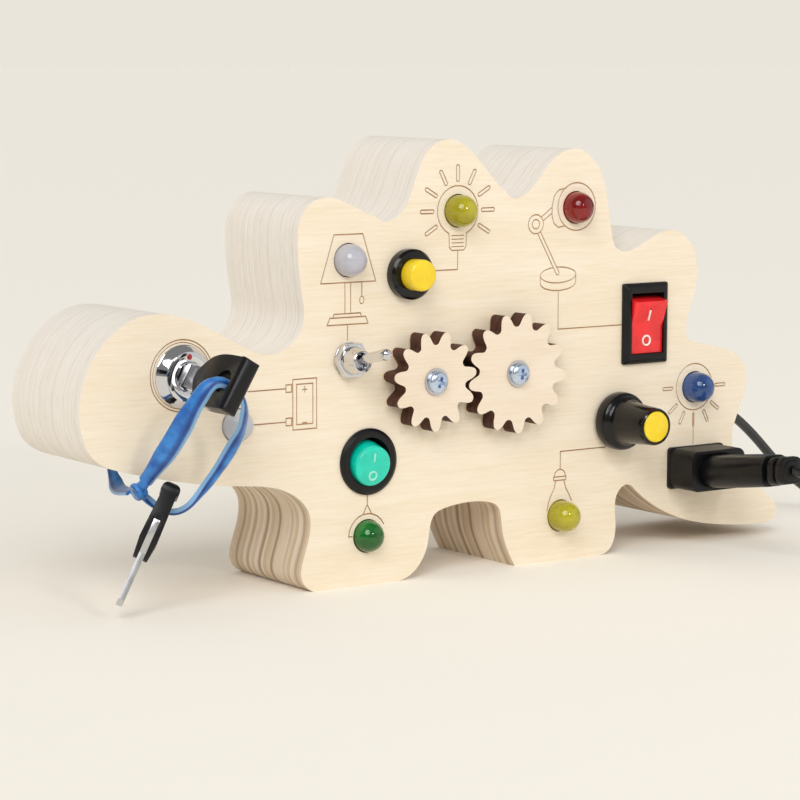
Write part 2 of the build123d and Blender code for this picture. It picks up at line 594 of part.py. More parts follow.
# ================================================================ push button
flange = disc(BUTTON, BUTTON_FLANGE_D, -BUTTON_FLANGE_T + 0.6, 0)
flange += cone(BUTTON, BUTTON_FLANGE_D, BUTTON_FLANGE_D - 1.2, -BUTTON_FLANGE_T + 0.6, -BUTTON_FLANGE_T)
button_housing = flange + disc(BUTTON, BUTTON_BODY_D, 0, 15)
button_housing -= disc(BUTTON, BUTTON_CAP_D + 0.1, -5, 1.0)
button_housing -= disc(BUTTON, 9.0, 1.0, 9.0)
for dx in (-2.6, 2.6):
    button_housing += slab((BUTTON[0] + dx, BUTTON[1]), 0.8, 2.2, 15, 19)
save("button_housing", button_housing)
cap = disc(BUTTON, BUTTON_CAP_D, -BUTTON_FACE, 1.05)
cap = chamfer(cap.edges().filter_by(GeomType.CIRCLE).sort_by(Axis.Y)[0], 0.4)
button_cap = cap + disc(BUTTON, 8.8, 1.05, 2.6)
save("button_cap", button_cap)
save("button_nut", hex_nut(BUTTON, 13.0, BUTTON_BODY_D, PANEL_T, PANEL_T + 2.2))

# ================================================================ rockers
def rocker_profile(half, front, centre, tail):
    """Side view (Y, Z) of a rocker in its middle position."""
    pts = [(front, half), (centre, 0), (front, -half), (ROCKER_PIVOT, -half - 0.3), (ROCKER_PIVOT + 2.5, -half + 0.6),
           (tail, -2.0), (tail, 2.0), (ROCKER_PIVOT + 2.5, half - 0.6), (ROCKER_PIVOT, half + 0.3)]
    return make_face(Polyline(*pts, close=True))


def tipped(shape, at):
    """Tip a rocker from its middle position to its rest position, top end out."""
    hub = Pos(at[0], ROCKER_PIVOT, at[1])
    return hub * Rot(ROCKER_TILT, 0, 0) * hub.inverse() * shape


open_w, open_h = RED_OPENING
red_housing = slab(RED_ROCKER, RED_BEZEL[0], RED_BEZEL[1], -0.8, 0, 0.6)
rim = Plane(origin=(RED_ROCKER[0], -0.8, RED_ROCKER[1]), x_dir=(1, 0, 0), z_dir=(0, -1, 0))
top_rim = Plane(origin=(RED_ROCKER[0], -RED_BEZEL_T, RED_ROCKER[1]), x_dir=(1, 0, 0), z_dir=(0, -1, 0))
red_housing += loft([rim * RectangleRounded(*RED_BEZEL, 0.6), top_rim * RectangleRounded(12.4, 18.5, 0.6)])
red_housing += slab(RED_ROCKER, open_w + 2.0, open_h + 2.0, 0, 14.0)
red_housing -= slab(RED_ROCKER, open_w, open_h, -5, 11.0)
trunnion = Pos(RED_ROCKER[0], ROCKER_PIVOT, RED_ROCKER[1]) * Rot(0, 90, 0)
red_housing -= trunnion * Cylinder(0.85, open_w + 1.6)
for dz in (-4.5, 4.5):
    red_housing += slab((RED_ROCKER[0], RED_ROCKER[1] + dz), 4.6, 0.8, 14.0, 20.0)
save("red_rocker_housing", red_housing)
profile = rocker_profile(6.8, -2.4, -1.3, 9.0)
red_rocker = Pos(RED_ROCKER[0], 0, RED_ROCKER[1]) * extrude(Plane.YZ * profile, amount=open_w / 2 - 0.1, both=True)
red_rocker += trunnion * Cylinder(0.8, open_w + 1.3)
mark_i = slab((RED_ROCKER[0], RED_ROCKER[1] + 3.6), 0.5, 2.6, -4, -1.7)
mark_o = prism(Pos(RED_ROCKER[0], RED_ROCKER[1] - 3.6) * (Circle(1.3) - Circle(0.8)), -4, -1.7)
save("red_rocker", tipped(red_rocker - mark_i - mark_o, RED_ROCKER))

round_housing = disc(ROUND_ROCKER, ROUND_BEZEL_D, -0.6, 0)
round_housing += cone(ROUND_ROCKER, ROUND_BEZEL_D, ROUND_BEZEL_D - 1.6, -0.6, -ROUND_BEZEL_T)
round_housing += disc(ROUND_ROCKER, ROUND_OPENING_D + 2.0, 0, 13.0)
round_housing -= disc(ROUND_ROCKER, ROUND_OPENING_D, -5, 10.5)
round_pin = Pos(ROUND_ROCKER[0], ROCKER_PIVOT, ROUND_ROCKER[1]) * Rot(0, 90, 0)
round_housing -= round_pin * Cylinder(0.85, ROUND_OPENING_D + 1.0)
for dz in (-3.5, 3.5):
    round_housing += slab((ROUND_ROCKER[0], ROUND_ROCKER[1] + dz), 4.0, 0.8, 13.0, 18.0)
save("round_rocker_housing", round_housing)
small_profile = rocker_profile(5.05, -1.6, -0.7, 8.5)
wedge = Pos(ROUND_ROCKER[0], 0, ROUND_ROCKER[1]) * extrude(Plane.YZ * small_profile, amount=6, both=True)
barrel = cone(ROUND_ROCKER, 10.1, 11.3, -2.2, ROCKER_PIVOT) + cone(ROUND_ROCKER, 11.3, 7.0, ROCKER_PIVOT, 9.0)
round_rocker = (wedge & barrel) + round_pin * Cylinder(0.8, ROUND_OPENING_D + 0.7)
mark_i = slab((ROUND_ROCKER[0], ROUND_ROCKER[1] + 2.5), 0.5, 2.4, -3, -0.9)
mark_o = prism(Pos(ROUND_ROCKER[0], ROUND_ROCKER[1] - 2.7) * (Circle(1.2) - Circle(0.7)), -3, -0.9)
save("round_rocker", tipped(round_rocker - mark_i - mark_o, ROUND_ROCKER))

# ================================================================ knob
pot_body = disc(KNOB, 16.4, PANEL_T, PANEL_T + 8.5) + disc(KNOB, 7.0, -4.4, PANEL_T)
pot_body -= disc(KNOB, SHAFT_D + 0.1, -5, PANEL_T + 5.2)
for dx in (-5, 0, 5):
    pot_body += block(KNOB[0] + dx - 0.8, KNOB[0] + dx + 0.8, PANEL_T + 5, PANEL_T + 5.8, KNOB[1] - 12, KNOB[1] - 7)
save("pot_body", pot_body)
save("pot_nut", hex_nut(KNOB, 10.0, 7.0, -2.0, 0))
shaft_tip = 2.4 - KNOB_TIP
save("pot_shaft", disc(KNOB, SHAFT_D, shaft_tip, PANEL_T + 5.0))
knob = disc(KNOB, KNOB_SKIRT_D, -2.4, -0.8) + cone(KNOB, KNOB_SKIRT_D, KNOB_SKIRT_D - 1.0, -2.4, -3.6)
knob += cone(KNOB, KNOB_SKIRT_D - 1.0, KNOB_BASE_D + 0.6, -3.6, -4.6)
knob += cone(KNOB, KNOB_BASE_D, KNOB_TOP_D, -4.6, 0.3 - KNOB_TIP)
knob -= disc(KNOB, 12.2, -2.6, 0)
knob -= disc(KNOB, 7.6, -4.8, 0)
knob -= disc(KNOB, SHAFT_D, shaft_tip, 0)
knob -= disc(KNOB, KNOB_CAP_D, 1.3 - KNOB_TIP, 0.5 - KNOB_TIP - 1)
save("knob", knob)
knob_cap = disc(KNOB, KNOB_CAP_D, -KNOB_TIP, 1.3 - KNOB_TIP)
knob_cap = chamfer(knob_cap.edges().filter_by(GeomType.CIRCLE).sort_by(Axis.Y)[0], 0.3)
save("knob_cap", knob_cap)

# ================================================================ gears
def gear_sketch(teeth, tip_r, root_r, phase):
    """A wave-toothed gear outline with one tooth centred on the phase angle, in degrees."""
    steps = teeth * WAVE_STEPS
    rim = []
    for k in range(steps):
        turn = math.radians(phase) + 2 * math.pi * k / steps
        wave = math.cos(2 * math.pi * k / WAVE_STEPS)
        fullness = TIP_FULLNESS if wave > 0 else GULLET_FULLNESS
        wave = math.copysign(1 - (1 - abs(wave)) ** fullness, wave)
        r = (tip_r + root_r) / 2 + (tip_r - root_r) / 2 * wave
        rim.append((r * math.cos(turn), r * math.sin(turn)))
    return make_face(Spline(*rim, periodic=True))


gear_front = -GEAR_BACK - GEAR_T
SMALL_PHASE = 8.2
LINE_OF_CENTRES = math.degrees(math.atan2(LARGE_GEAR[1] - SMALL_GEAR[1], LARGE_GEAR[0] - SMALL_GEAR[0]))
LARGE_PHASE = (180 + LINE_OF_CENTRES + 180 / LARGE_TEETH
               + (LINE_OF_CENTRES - SMALL_PHASE) * SMALL_TEETH / LARGE_TEETH)
small_face = Pos(*SMALL_GEAR) * gear_sketch(SMALL_TEETH, SMALL_TIP_R, SMALL_ROOT_R, SMALL_PHASE)
large_face = Pos(*LARGE_GEAR) * gear_sketch(LARGE_TEETH, LARGE_TIP_R, LARGE_ROOT_R, LARGE_PHASE)
save("small_gear", prism(small_face, gear_front, -GEAR_BACK) - disc(SMALL_GEAR, GEAR_BORE_D, -10, 1))
save("large_gear", prism(large_face, gear_front, -GEAR_BACK) - disc(LARGE_GEAR, GEAR_BORE_D, -10, 1))
bushes = []
spacers = []
washers = []
screws = []
nuts = []
for hub in (SMALL_GEAR, LARGE_GEAR):
    bushes.append(tube(hub, BUSH_D, SCREW_D, gear_front - 0.05, -GEAR_BACK + 0.1))
    spacers.append(tube(hub, 8.0, SCREW_D, -GEAR_BACK + 0.1, 0))
    washers.append(tube(hub, 6.6, SCREW_D, gear_front - 0.55, gear_front - 0.05))
    head_y = gear_front - 0.55
    head = Pos(hub[0], head_y + 0.9, hub[1]) * Sphere(3.05) & disc(hub, 5.8, head_y - 2.1, head_y)
    cross = slab(hub, 3.4, 0.8, head_y - 3, head_y - 0.9) + slab(hub, 0.8, 3.4, head_y - 3, head_y - 0.9)
    screws.append(head - cross + disc(hub, SCREW_D, head_y, PANEL_T + 3.4))
    nuts.append(hex_nut(hub, 5.5, SCREW_D, PANEL_T, PANEL_T + 2.4))
save("gear_bushes", *bushes)
save("gear_spacers", *spacers)
save("gear_washers", *washers)
save("gear_screws", *screws)
save("gear_nuts", *nuts)

# ================================================================ socket and plug
socket = slab(SOCKET, SOCKET_FLANGE[0], SOCKET_FLANGE[1], -1.0, 0, 1.0)
socket += slab(SOCKET, 18.0, 10.5, -SOCKET_REACH, -1.0, 2.4)
socket += slab(SOCKET, 14.9, 8.3, 0, 9.0)
socket -= slab(SOCKET, PLUG_W + 0.2, PLUG_H + 0.2, -SOCKET_REACH - 1, -1.0, 4.2)
pins = []
pin_spots = [(SOCKET[0] - PIN_PITCH / 2, SOCKET[1]), (SOCKET[0] + PIN_PITCH / 2, SOCKET[1])]
for spot in pin_spots:
    pins.append(disc(spot, PIN_D, -7.4, 12.0) + Pos(spot[0], -7.4, spot[1]) * Sphere(PIN_D / 2))
    socket -= disc(spot, PIN_D, -2, 13)
save("socket", socket)
save("socket_pins", *pins)

RISE = 0.13


def plug_section(y, w, h, r):
    """A cross-section of the plug on its rising axis."""
    z = SOCKET[1] + max(0.0, -y - 12.0) * RISE
    plane = Plane(origin=(SOCKET[0], y, z), x_dir=(1, 0, 0), z_dir=(0, -1, 0))
    return plane * RectangleRounded(w, h, r)


plug_body = slab(SOCKET, PLUG_W, PLUG_H, -12.0, -1.2, 4.1)
waist = plug_section(-22.0, PLUG_W - 0.6, PLUG_H, 3.8)
neck = plug_section(-PLUG_NECK, 9.0, PLUG_H - 0.3, 2.8)
plug_body += loft([plug_section(-12.0, PLUG_W, PLUG_H, 4.1), waist])
plug_body += loft([waist, neck])
for spot in pin_spots:
    plug_body -= disc(spot, PIN_D + 0.2, -9.2, 0)
save("plug_body", plug_body)
relief = loft([plug_section(-PLUG_NECK, 6.2, 5.6, 1.8), plug_section(-PLUG_END, 5.2, 5.0, 1.8)])
for rib in (1.2, 4.4):
    front = plug_section(-PLUG_NECK - rib, 7.6, 7.2, 2.2)
    relief += loft([front, plug_section(-PLUG_NECK - rib - 2.0, 7.2, 6.8, 2.2)])
save("plug_strain_relief", relief)

PLUG_TAIL = (SOCKET[0], -PLUG_END - 0.3, SOCKET[1] + (PLUG_END - 12.0) * RISE)
cord_route = [(84.0, CORD_EXIT[1], CORD_EXIT[2]), (98.0, MID_Y + 1.15, 33.6), (112.0, 21.0, 26.3), (128.0, 22.5, 11.7),
              (143.0, 22.0, 2.2), (160.0, 8.0, 1.7), (170.0, -14.0, 1.7), (168.0, -40.0, 1.7), (156.0, -62.0, 1.7),
              (136.0, -77.0, 1.7), (112.0, -81.0, 4.0), (92.0, -74.0, 12.0), (79.5, -57.5, 20.8), PLUG_TAIL]
power_cord, cord_radii, cord_length = cord(cord_route, CORD_D)
print("power_cord radii", [round(r, 1) for r in cord_radii], "length", round(cord_length, 1))
save("power_cord", power_cord)
grommet = Pos(*CORD_EXIT) * Rot(0, 90, 0) * Cylinder(GROMMET_D / 2, 6.0)
grommet += Pos(2.7, 0, 0) * Pos(*CORD_EXIT) * Rot(0, 90, 0) * Cylinder(GROMMET_D / 2 + 1, 1.6)
save("cord_grommet", grommet - power_cord)
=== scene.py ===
"""Dress the wooden busy board: finishes, fittings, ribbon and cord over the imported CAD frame.

The row frame is in metres.  The board's maker measures in millimetres from the front face, so
``spot`` turns such a place into a point of the row frame.
"""
from __future__ import annotations

import json
import logging
import math
from contextlib import contextmanager
from dataclasses import dataclass
from enum import Enum
from functools import partial
from typing import Callable, Iterator, Sequence

import bmesh
import bpy
from mathutils import Matrix, Vector

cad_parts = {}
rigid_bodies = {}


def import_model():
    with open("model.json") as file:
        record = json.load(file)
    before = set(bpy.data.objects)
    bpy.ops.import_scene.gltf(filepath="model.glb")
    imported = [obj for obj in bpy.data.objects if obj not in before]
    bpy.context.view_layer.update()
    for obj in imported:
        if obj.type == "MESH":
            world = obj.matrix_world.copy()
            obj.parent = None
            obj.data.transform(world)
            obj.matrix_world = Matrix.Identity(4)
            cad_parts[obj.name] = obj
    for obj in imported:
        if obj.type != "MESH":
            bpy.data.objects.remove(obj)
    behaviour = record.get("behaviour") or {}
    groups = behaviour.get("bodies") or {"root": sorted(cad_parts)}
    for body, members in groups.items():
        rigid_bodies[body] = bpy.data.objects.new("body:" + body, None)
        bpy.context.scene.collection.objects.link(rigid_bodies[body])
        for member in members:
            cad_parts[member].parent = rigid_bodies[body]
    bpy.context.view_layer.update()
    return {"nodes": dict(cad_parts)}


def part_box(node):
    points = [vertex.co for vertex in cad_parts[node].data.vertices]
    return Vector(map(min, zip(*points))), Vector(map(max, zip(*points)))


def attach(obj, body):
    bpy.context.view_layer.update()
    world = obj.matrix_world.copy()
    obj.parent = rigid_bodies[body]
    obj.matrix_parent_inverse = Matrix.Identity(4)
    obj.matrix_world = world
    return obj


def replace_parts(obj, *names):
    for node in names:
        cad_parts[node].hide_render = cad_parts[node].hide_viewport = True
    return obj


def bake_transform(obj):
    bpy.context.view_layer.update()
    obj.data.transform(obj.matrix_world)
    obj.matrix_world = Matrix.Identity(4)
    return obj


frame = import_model()
LOG = logging.getLogger("busy_board")

Piece = bpy.types.Object
Tree = bpy.types.NodeTree
Node = bpy.types.Node
Socket = bpy.types.NodeSocket
Inputs = dict[str | int, object]
Adder = Callable[..., Node]
Point = tuple[float, float, float]
Place = tuple[float, float]
Profile = Sequence[tuple[float, float]]

# Millimetres: where the front face lies in the row frame, the board's and a panel's thickness, the lock's
# middle, and how far the eye of the key in the lock stands out.  The spare key's eye runs along SPARE_AXIS.
FACE_SHIFT = -3.1
BOARD_DEPTH = 32.7
PANEL_T = 3.0
LOCK = (-78.4, 54.1)
KEY_TILT = math.radians(31.0)
EYE_Y = 20.5
SPARE_AXIS = (0.748, -0.520, -0.412)

# The Mix node's colour sockets go by number, because its float and vector ones bear the same names.
SHARE, FIRST, SECOND = 0, 6, 7
LAYERED = {"data_type": "RGBA"}
TINTED = {"data_type": "RGBA", "blend_type": "MULTIPLY"}


def mm(value: float) -> float:
    """Millimetres to metres."""
    return value * 0.001


def spot(x: float, y: float, z: float) -> Vector:
    """A place measured in millimetres from the front face, as a point of the row frame."""
    return Vector((mm(x), mm(y + FACE_SHIFT), mm(z)))


# ------------------------------------------------------------------ colour and nodes
def linear(code: str) -> tuple[float, float, float, float]:
    """Turn an sRGB hex colour into linear RGBA.

    Args:
        code: The colour, such as "#f2e3c8".

    Returns:
        The linear red, green and blue, and an alpha of one.
    """
    channels = [int(code[i:i + 2], 16) / 255 for i in (1, 3, 5)]
    red, green, blue = (c / 12.92 if c <= 0.04045 else ((c + 0.055) / 1.055) ** 2.4 for c in channels)
    return (red, green, blue, 1.0)


def add_node(tree: Tree, kind: str, inputs: Inputs | None = None, stops: Sequence[tuple[float, str]] = (),
             **settings: object) -> Node:
    """Add one shader node with its settings and links.

    Args:
        tree: The node tree that gets the node.
        kind: The node's type, without the ShaderNode in front.
        inputs: What goes in: a plain value, an output socket, or a node, whose first output in use is linked.
        stops: A colour ramp's places and hex colours.
        settings: The node's own properties.

    Returns:
        The new node.
    """
    node = tree.nodes.new("ShaderNode" + kind)
    for name, value in settings.items():
        setattr(node, name, value)
    for index, (place, code) in enumerate(stops):
        node.color_ramp.elements[index].position = place
        node.color_ramp.elements[index].color = linear(code)
    for name, value in (inputs or {}).items():
        source = next(out for out in value.outputs if out.enabled) if isinstance(value, Node) else value
        if isinstance(source, Socket):
            tree.links.new(source, node.inputs[name])
        else:
            node.inputs[name].default_value = source
    return node


def blank_material(name: str) -> bpy.types.Material:
    """Start a material with an empty node tree.

    Args:
        name: The material's name.

    Returns:
        The new material.
    """
    material = bpy.data.materials.new(name)
    material.use_nodes = True
    material.node_tree.nodes.clear()
    return material


def chalk(name: str, code: str) -> bpy.types.Material:
    """Make a dull even material, for what stands round the board and isn't part of it.

    Args:
        name: The material's name.
        code: Its hex colour.

    Returns:
        The new material.
    """
    material = blank_material(name)
    surface = add_node(material.node_tree, "BsdfDiffuse", {"Color": linear(code)})
    add_node(material.node_tree, "OutputMaterial", {"Surface": surface})
    return material


# ------------------------------------------------------------------ modelling
def deselect() -> None:
    """Leave nothing selected and nothing active."""
    for other in bpy.context.view_layer.objects:
        other.select_set(False)
    bpy.context.view_layer.objects.active = None


def activate(piece: Piece) -> None:
    """Select one piece alone and make it the active one.

    Args:
        piece: The piece.
    """
    deselect()
    piece.select_set(True)
    bpy.context.view_layer.objects.active = piece


def started(operator: Callable[..., object], **settings: object) -> Piece:
    """Add a primitive with nothing else selected.

    Args:
        operator: The operator that adds it.
        settings: The operator's own settings.

    Returns:
        The new object, still to be shaped.
    """
    deselect()
    operator(**settings)
    return bpy.context.active_object


@contextmanager
def editing(piece: Piece, mode: str = "FACE") -> Iterator[None]:
    """Work on one mesh in edit mode, with all of it selected.

    Args:
        piece: The mesh object.
        mode: What is selected: VERT, EDGE or FACE.

    Returns:
        A context; leaving it ends edit mode.
    """
    activate(piece)
    bpy.ops.object.mode_set(mode="EDIT")
    bpy.ops.mesh.select_mode(type=mode)
    bpy.ops.mesh.select_all(action="SELECT")
    yield
    bpy.ops.object.mode_set(mode="OBJECT")


def pick_faces(piece: Piece, wanted: Callable[[bpy.types.MeshPolygon], bool]) -> None:
    """Select the faces that answer a test, from inside edit mode.

    Args:
        piece: The mesh object in edit mode.
        wanted: The test.
    """
    bpy.ops.mesh.select_all(action="DESELECT")
    bpy.ops.object.mode_set(mode="OBJECT")
    for polygon in piece.data.polygons:
        polygon.select = wanted(polygon)
    bpy.ops.object.mode_set(mode="EDIT")


def settle(piece: Piece, place: Matrix | None = None) -> Piece:
    """Put a piece in its place and leave the place in its mesh.

    Args:
        piece: The mesh object.
        place: A further transform, after the object's own.

    Returns:
        The same object, at the origin.
    """
    activate(piece)
    if place is not None:
        piece.matrix_world = place @ piece.matrix_world
    bpy.ops.object.transform_apply(location=True, rotation=True, scale=True)
    return piece


def tipped(piece: Piece, at: Place, depth: float, angle: float) -> Piece:
    """Tip a piece about a line that runs left to right.

    Args:
        piece: The mesh object.
        at: The X and Z of the line's middle, in millimetres.
        depth: The line's depth from the front face.
        angle: How far it tips, in degrees.

    Returns:
        The same object, at the origin.
    """
    hub = Matrix.Translation(spot(at[0], depth, at[1]))
    return settle(piece, hub @ Matrix.Rotation(math.radians(angle), 4, "X") @ hub.inverted())


def smooth(piece: Piece, angle: float = 35.0) -> Piece:
    """Point the faces outward and shade them smooth.

    Args:
        piece: The mesh object.
        angle: The least angle in degrees that still shows as an edge.

    Returns:
        The same object.
    """
    with editing(piece):
        bpy.ops.mesh.normals_make_consistent(inside=False)
    activate(piece)
    bpy.ops.object.shade_smooth_by_angle(angle=math.radians(angle))
    return piece


def modified(piece: Piece, kind: str, **settings: object) -> Piece:
    """Give a piece one modifier and apply it.

    Args:
        piece: The mesh object.
        kind: The modifier's type.
        settings: The modifier's own properties.

    Returns:
        The same object.
    """
    modifier = piece.modifiers.new(kind.lower(), kind)
    for name, value in settings.items():
        setattr(modifier, name, value)
    activate(piece)
    bpy.ops.object.modifier_apply(modifier=modifier.name)
    return piece


def bevelled(piece: Piece, width: float, segments: int = 3, angle: float = 30.0) -> Piece:
    """Round a piece's sharp edges.

    Args:
        piece: The mesh object.
        width: The bevel's width in millimetres.
        segments: How many faces round it.
        angle: The least angle in degrees that counts as sharp.

    Returns:
        The same object, with the bevel applied.
    """
    return modified(piece, "BEVEL", width=mm(width), segments=segments, limit_method="ANGLE",
                    angle_limit=math.radians(angle))


def turned(name: str, at: Place, outline: Profile, segments: int = 64) -> Piece:
    """Turn a piece on the lathe, about a line straight out of the front face.

    Args:
        name: The piece's name.
        at: The line's X and Z, in millimetres.
        outline: Depth from the front face and radius, ring by ring, in millimetres.
        segments: Faces round the piece.

    Returns:
        The closed piece.
    """
    depth, radius = outline[0]
    piece = started(bpy.ops.mesh.primitive_circle_add, vertices=segments, radius=mm(radius), fill_type="NGON",
                    location=spot(at[0], depth, at[1]), rotation=(math.pi / 2, 0, 0))
    piece.name = piece.data.name = name
    settle(piece)
    with editing(piece):
        for (near, small), (far, large) in zip(outline, outline[1:]):
            bpy.ops.mesh.extrude_region_move(TRANSFORM_OT_translate={"value": (0, mm(far - near), 0)})
            grow = large / small
            bpy.ops.transform.resize(value=(grow, 1, grow), center_override=spot(at[0], far, at[1]))
    return smooth(piece)


def copied(name: str, node: str) -> Piece:
    """Copy a CAD node as a new piece that stands for it, with its flat faces whole again.

    Args:
        name: The new piece's name.
        node: The CAD node.

    Returns:
        The new piece.
    """
    piece = bpy.data.objects.new(name, frame["nodes"][node].data.copy())
    piece.data.materials.clear()
    bpy.context.scene.collection.objects.link(piece)
    with editing(piece):
        bpy.ops.mesh.customdata_custom_splitnormals_clear()
        bpy.ops.mesh.remove_doubles(threshold=1e-6)
        bpy.ops.mesh.dissolve_limited(angle_limit=math.radians(0.4))
    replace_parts(piece, node)
    return piece


def softened(name: str, node: str, width: float, segments: int = 2) -> Piece:
    """Copy a CAD node and take its sharp edges off, as a mould or a file does.

    Args:
        name: The new piece's name.
        node: The CAD node it is made from and stands for.
        width: The rounding in millimetres.
        segments: Faces round each edge.

    Returns:
        The new piece.
    """
    return smooth(bevelled(copied(name, node), width, segments))


def joined(name: str, parts: Sequence[Piece]) -> Piece:
    """Join several meshes into one piece.

    Args:
        name: The piece's name.
        parts: The meshes, which end with this.

    Returns:
        The piece.
    """
    deselect()
    for part in parts:
        part.select_set(True)
    bpy.context.view_layer.objects.active = parts[0]
    bpy.ops.object.join()
    parts[0].name = parts[0].data.name = name
    return parts[0]


def skinned(name: str, rings: Sequence[Sequence[Vector]]) -> Piece:
    """Skin a row of equal rings as one closed tube.

    Args:
        name: The piece's name.
        rings: The points of each ring, from the tube's start to its end.

    Returns:
        The piece, still to be smoothed.
    """
    sides, last = len(rings[0]), len(rings) - 1
    faces = [(index * sides + side, index * sides + (side + 1) % sides,
              (index + 1) * sides + (side + 1) % sides, (index + 1) * sides + side)
             for index in range(last) for side in range(sides)]
    faces += [tuple(range(sides - 1, -1, -1)), tuple(last * sides + side for side in range(sides))]
    mesh = bpy.data.meshes.new(name)
    mesh.from_pydata([point for ring in rings for point in ring], [], faces)
    piece = bpy.data.objects.new(name, mesh)
    bpy.context.scene.collection.objects.link(piece)
    return piece


def dress(piece: Piece, finish: Finish) -> None:
    """Give a piece its finish, on the object so that a CAD mesh stays as it is.

    Args:
        piece: The piece or CAD node.
        finish: What it is made of.
    """
    material = finish.material()
    if not piece.material_slots:
        piece.data.materials.append(material)
    for place in piece.material_slots:
        place.link = "OBJECT"
        place.material = material


def fit(piece: Piece, body: str, finish: Finish) -> Piece:
    """Dress a new piece and let it ride on its body.

    Args:
        piece: The piece.
        body: The body that carries it.
        finish: What it is made of.

    Returns:
        The same piece.
    """
    dress(piece, finish)
    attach(piece, body)
    LOG.info("%s rides on %s, finish %s, %d faces", piece.name, body, finish.name, len(piece.data.polygons))
    return piece


def strand(piece: Piece, node: str, finish: Finish, line: Sequence[Vector]) -> Piece:
    """Dress a cord's piece and let it stand for its CAD node.

    Args:
        piece: The piece.
        node: The CAD node.
        finish: What it is made of.
        line: Its centreline.

    Returns:
        The same piece.
    """
    dress(piece, finish)
    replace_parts(piece, node)
    LOG.info("%s stands for %s, finish %s, %.1f mm long", piece.name, node, finish.name, length_of(line) * 1000)
    return piece


def finish_nodes(finish: Finish, *nodes: str) -> None:
    """Give CAD nodes that keep their shape a finish.

    Args:
        finish: What they are made of.
        nodes: The nodes' names.
    """
    for node in nodes:
        dress(frame["nodes"][node], finish)
        LOG.info("%s keeps its shape, finish %s", node, finish.name)


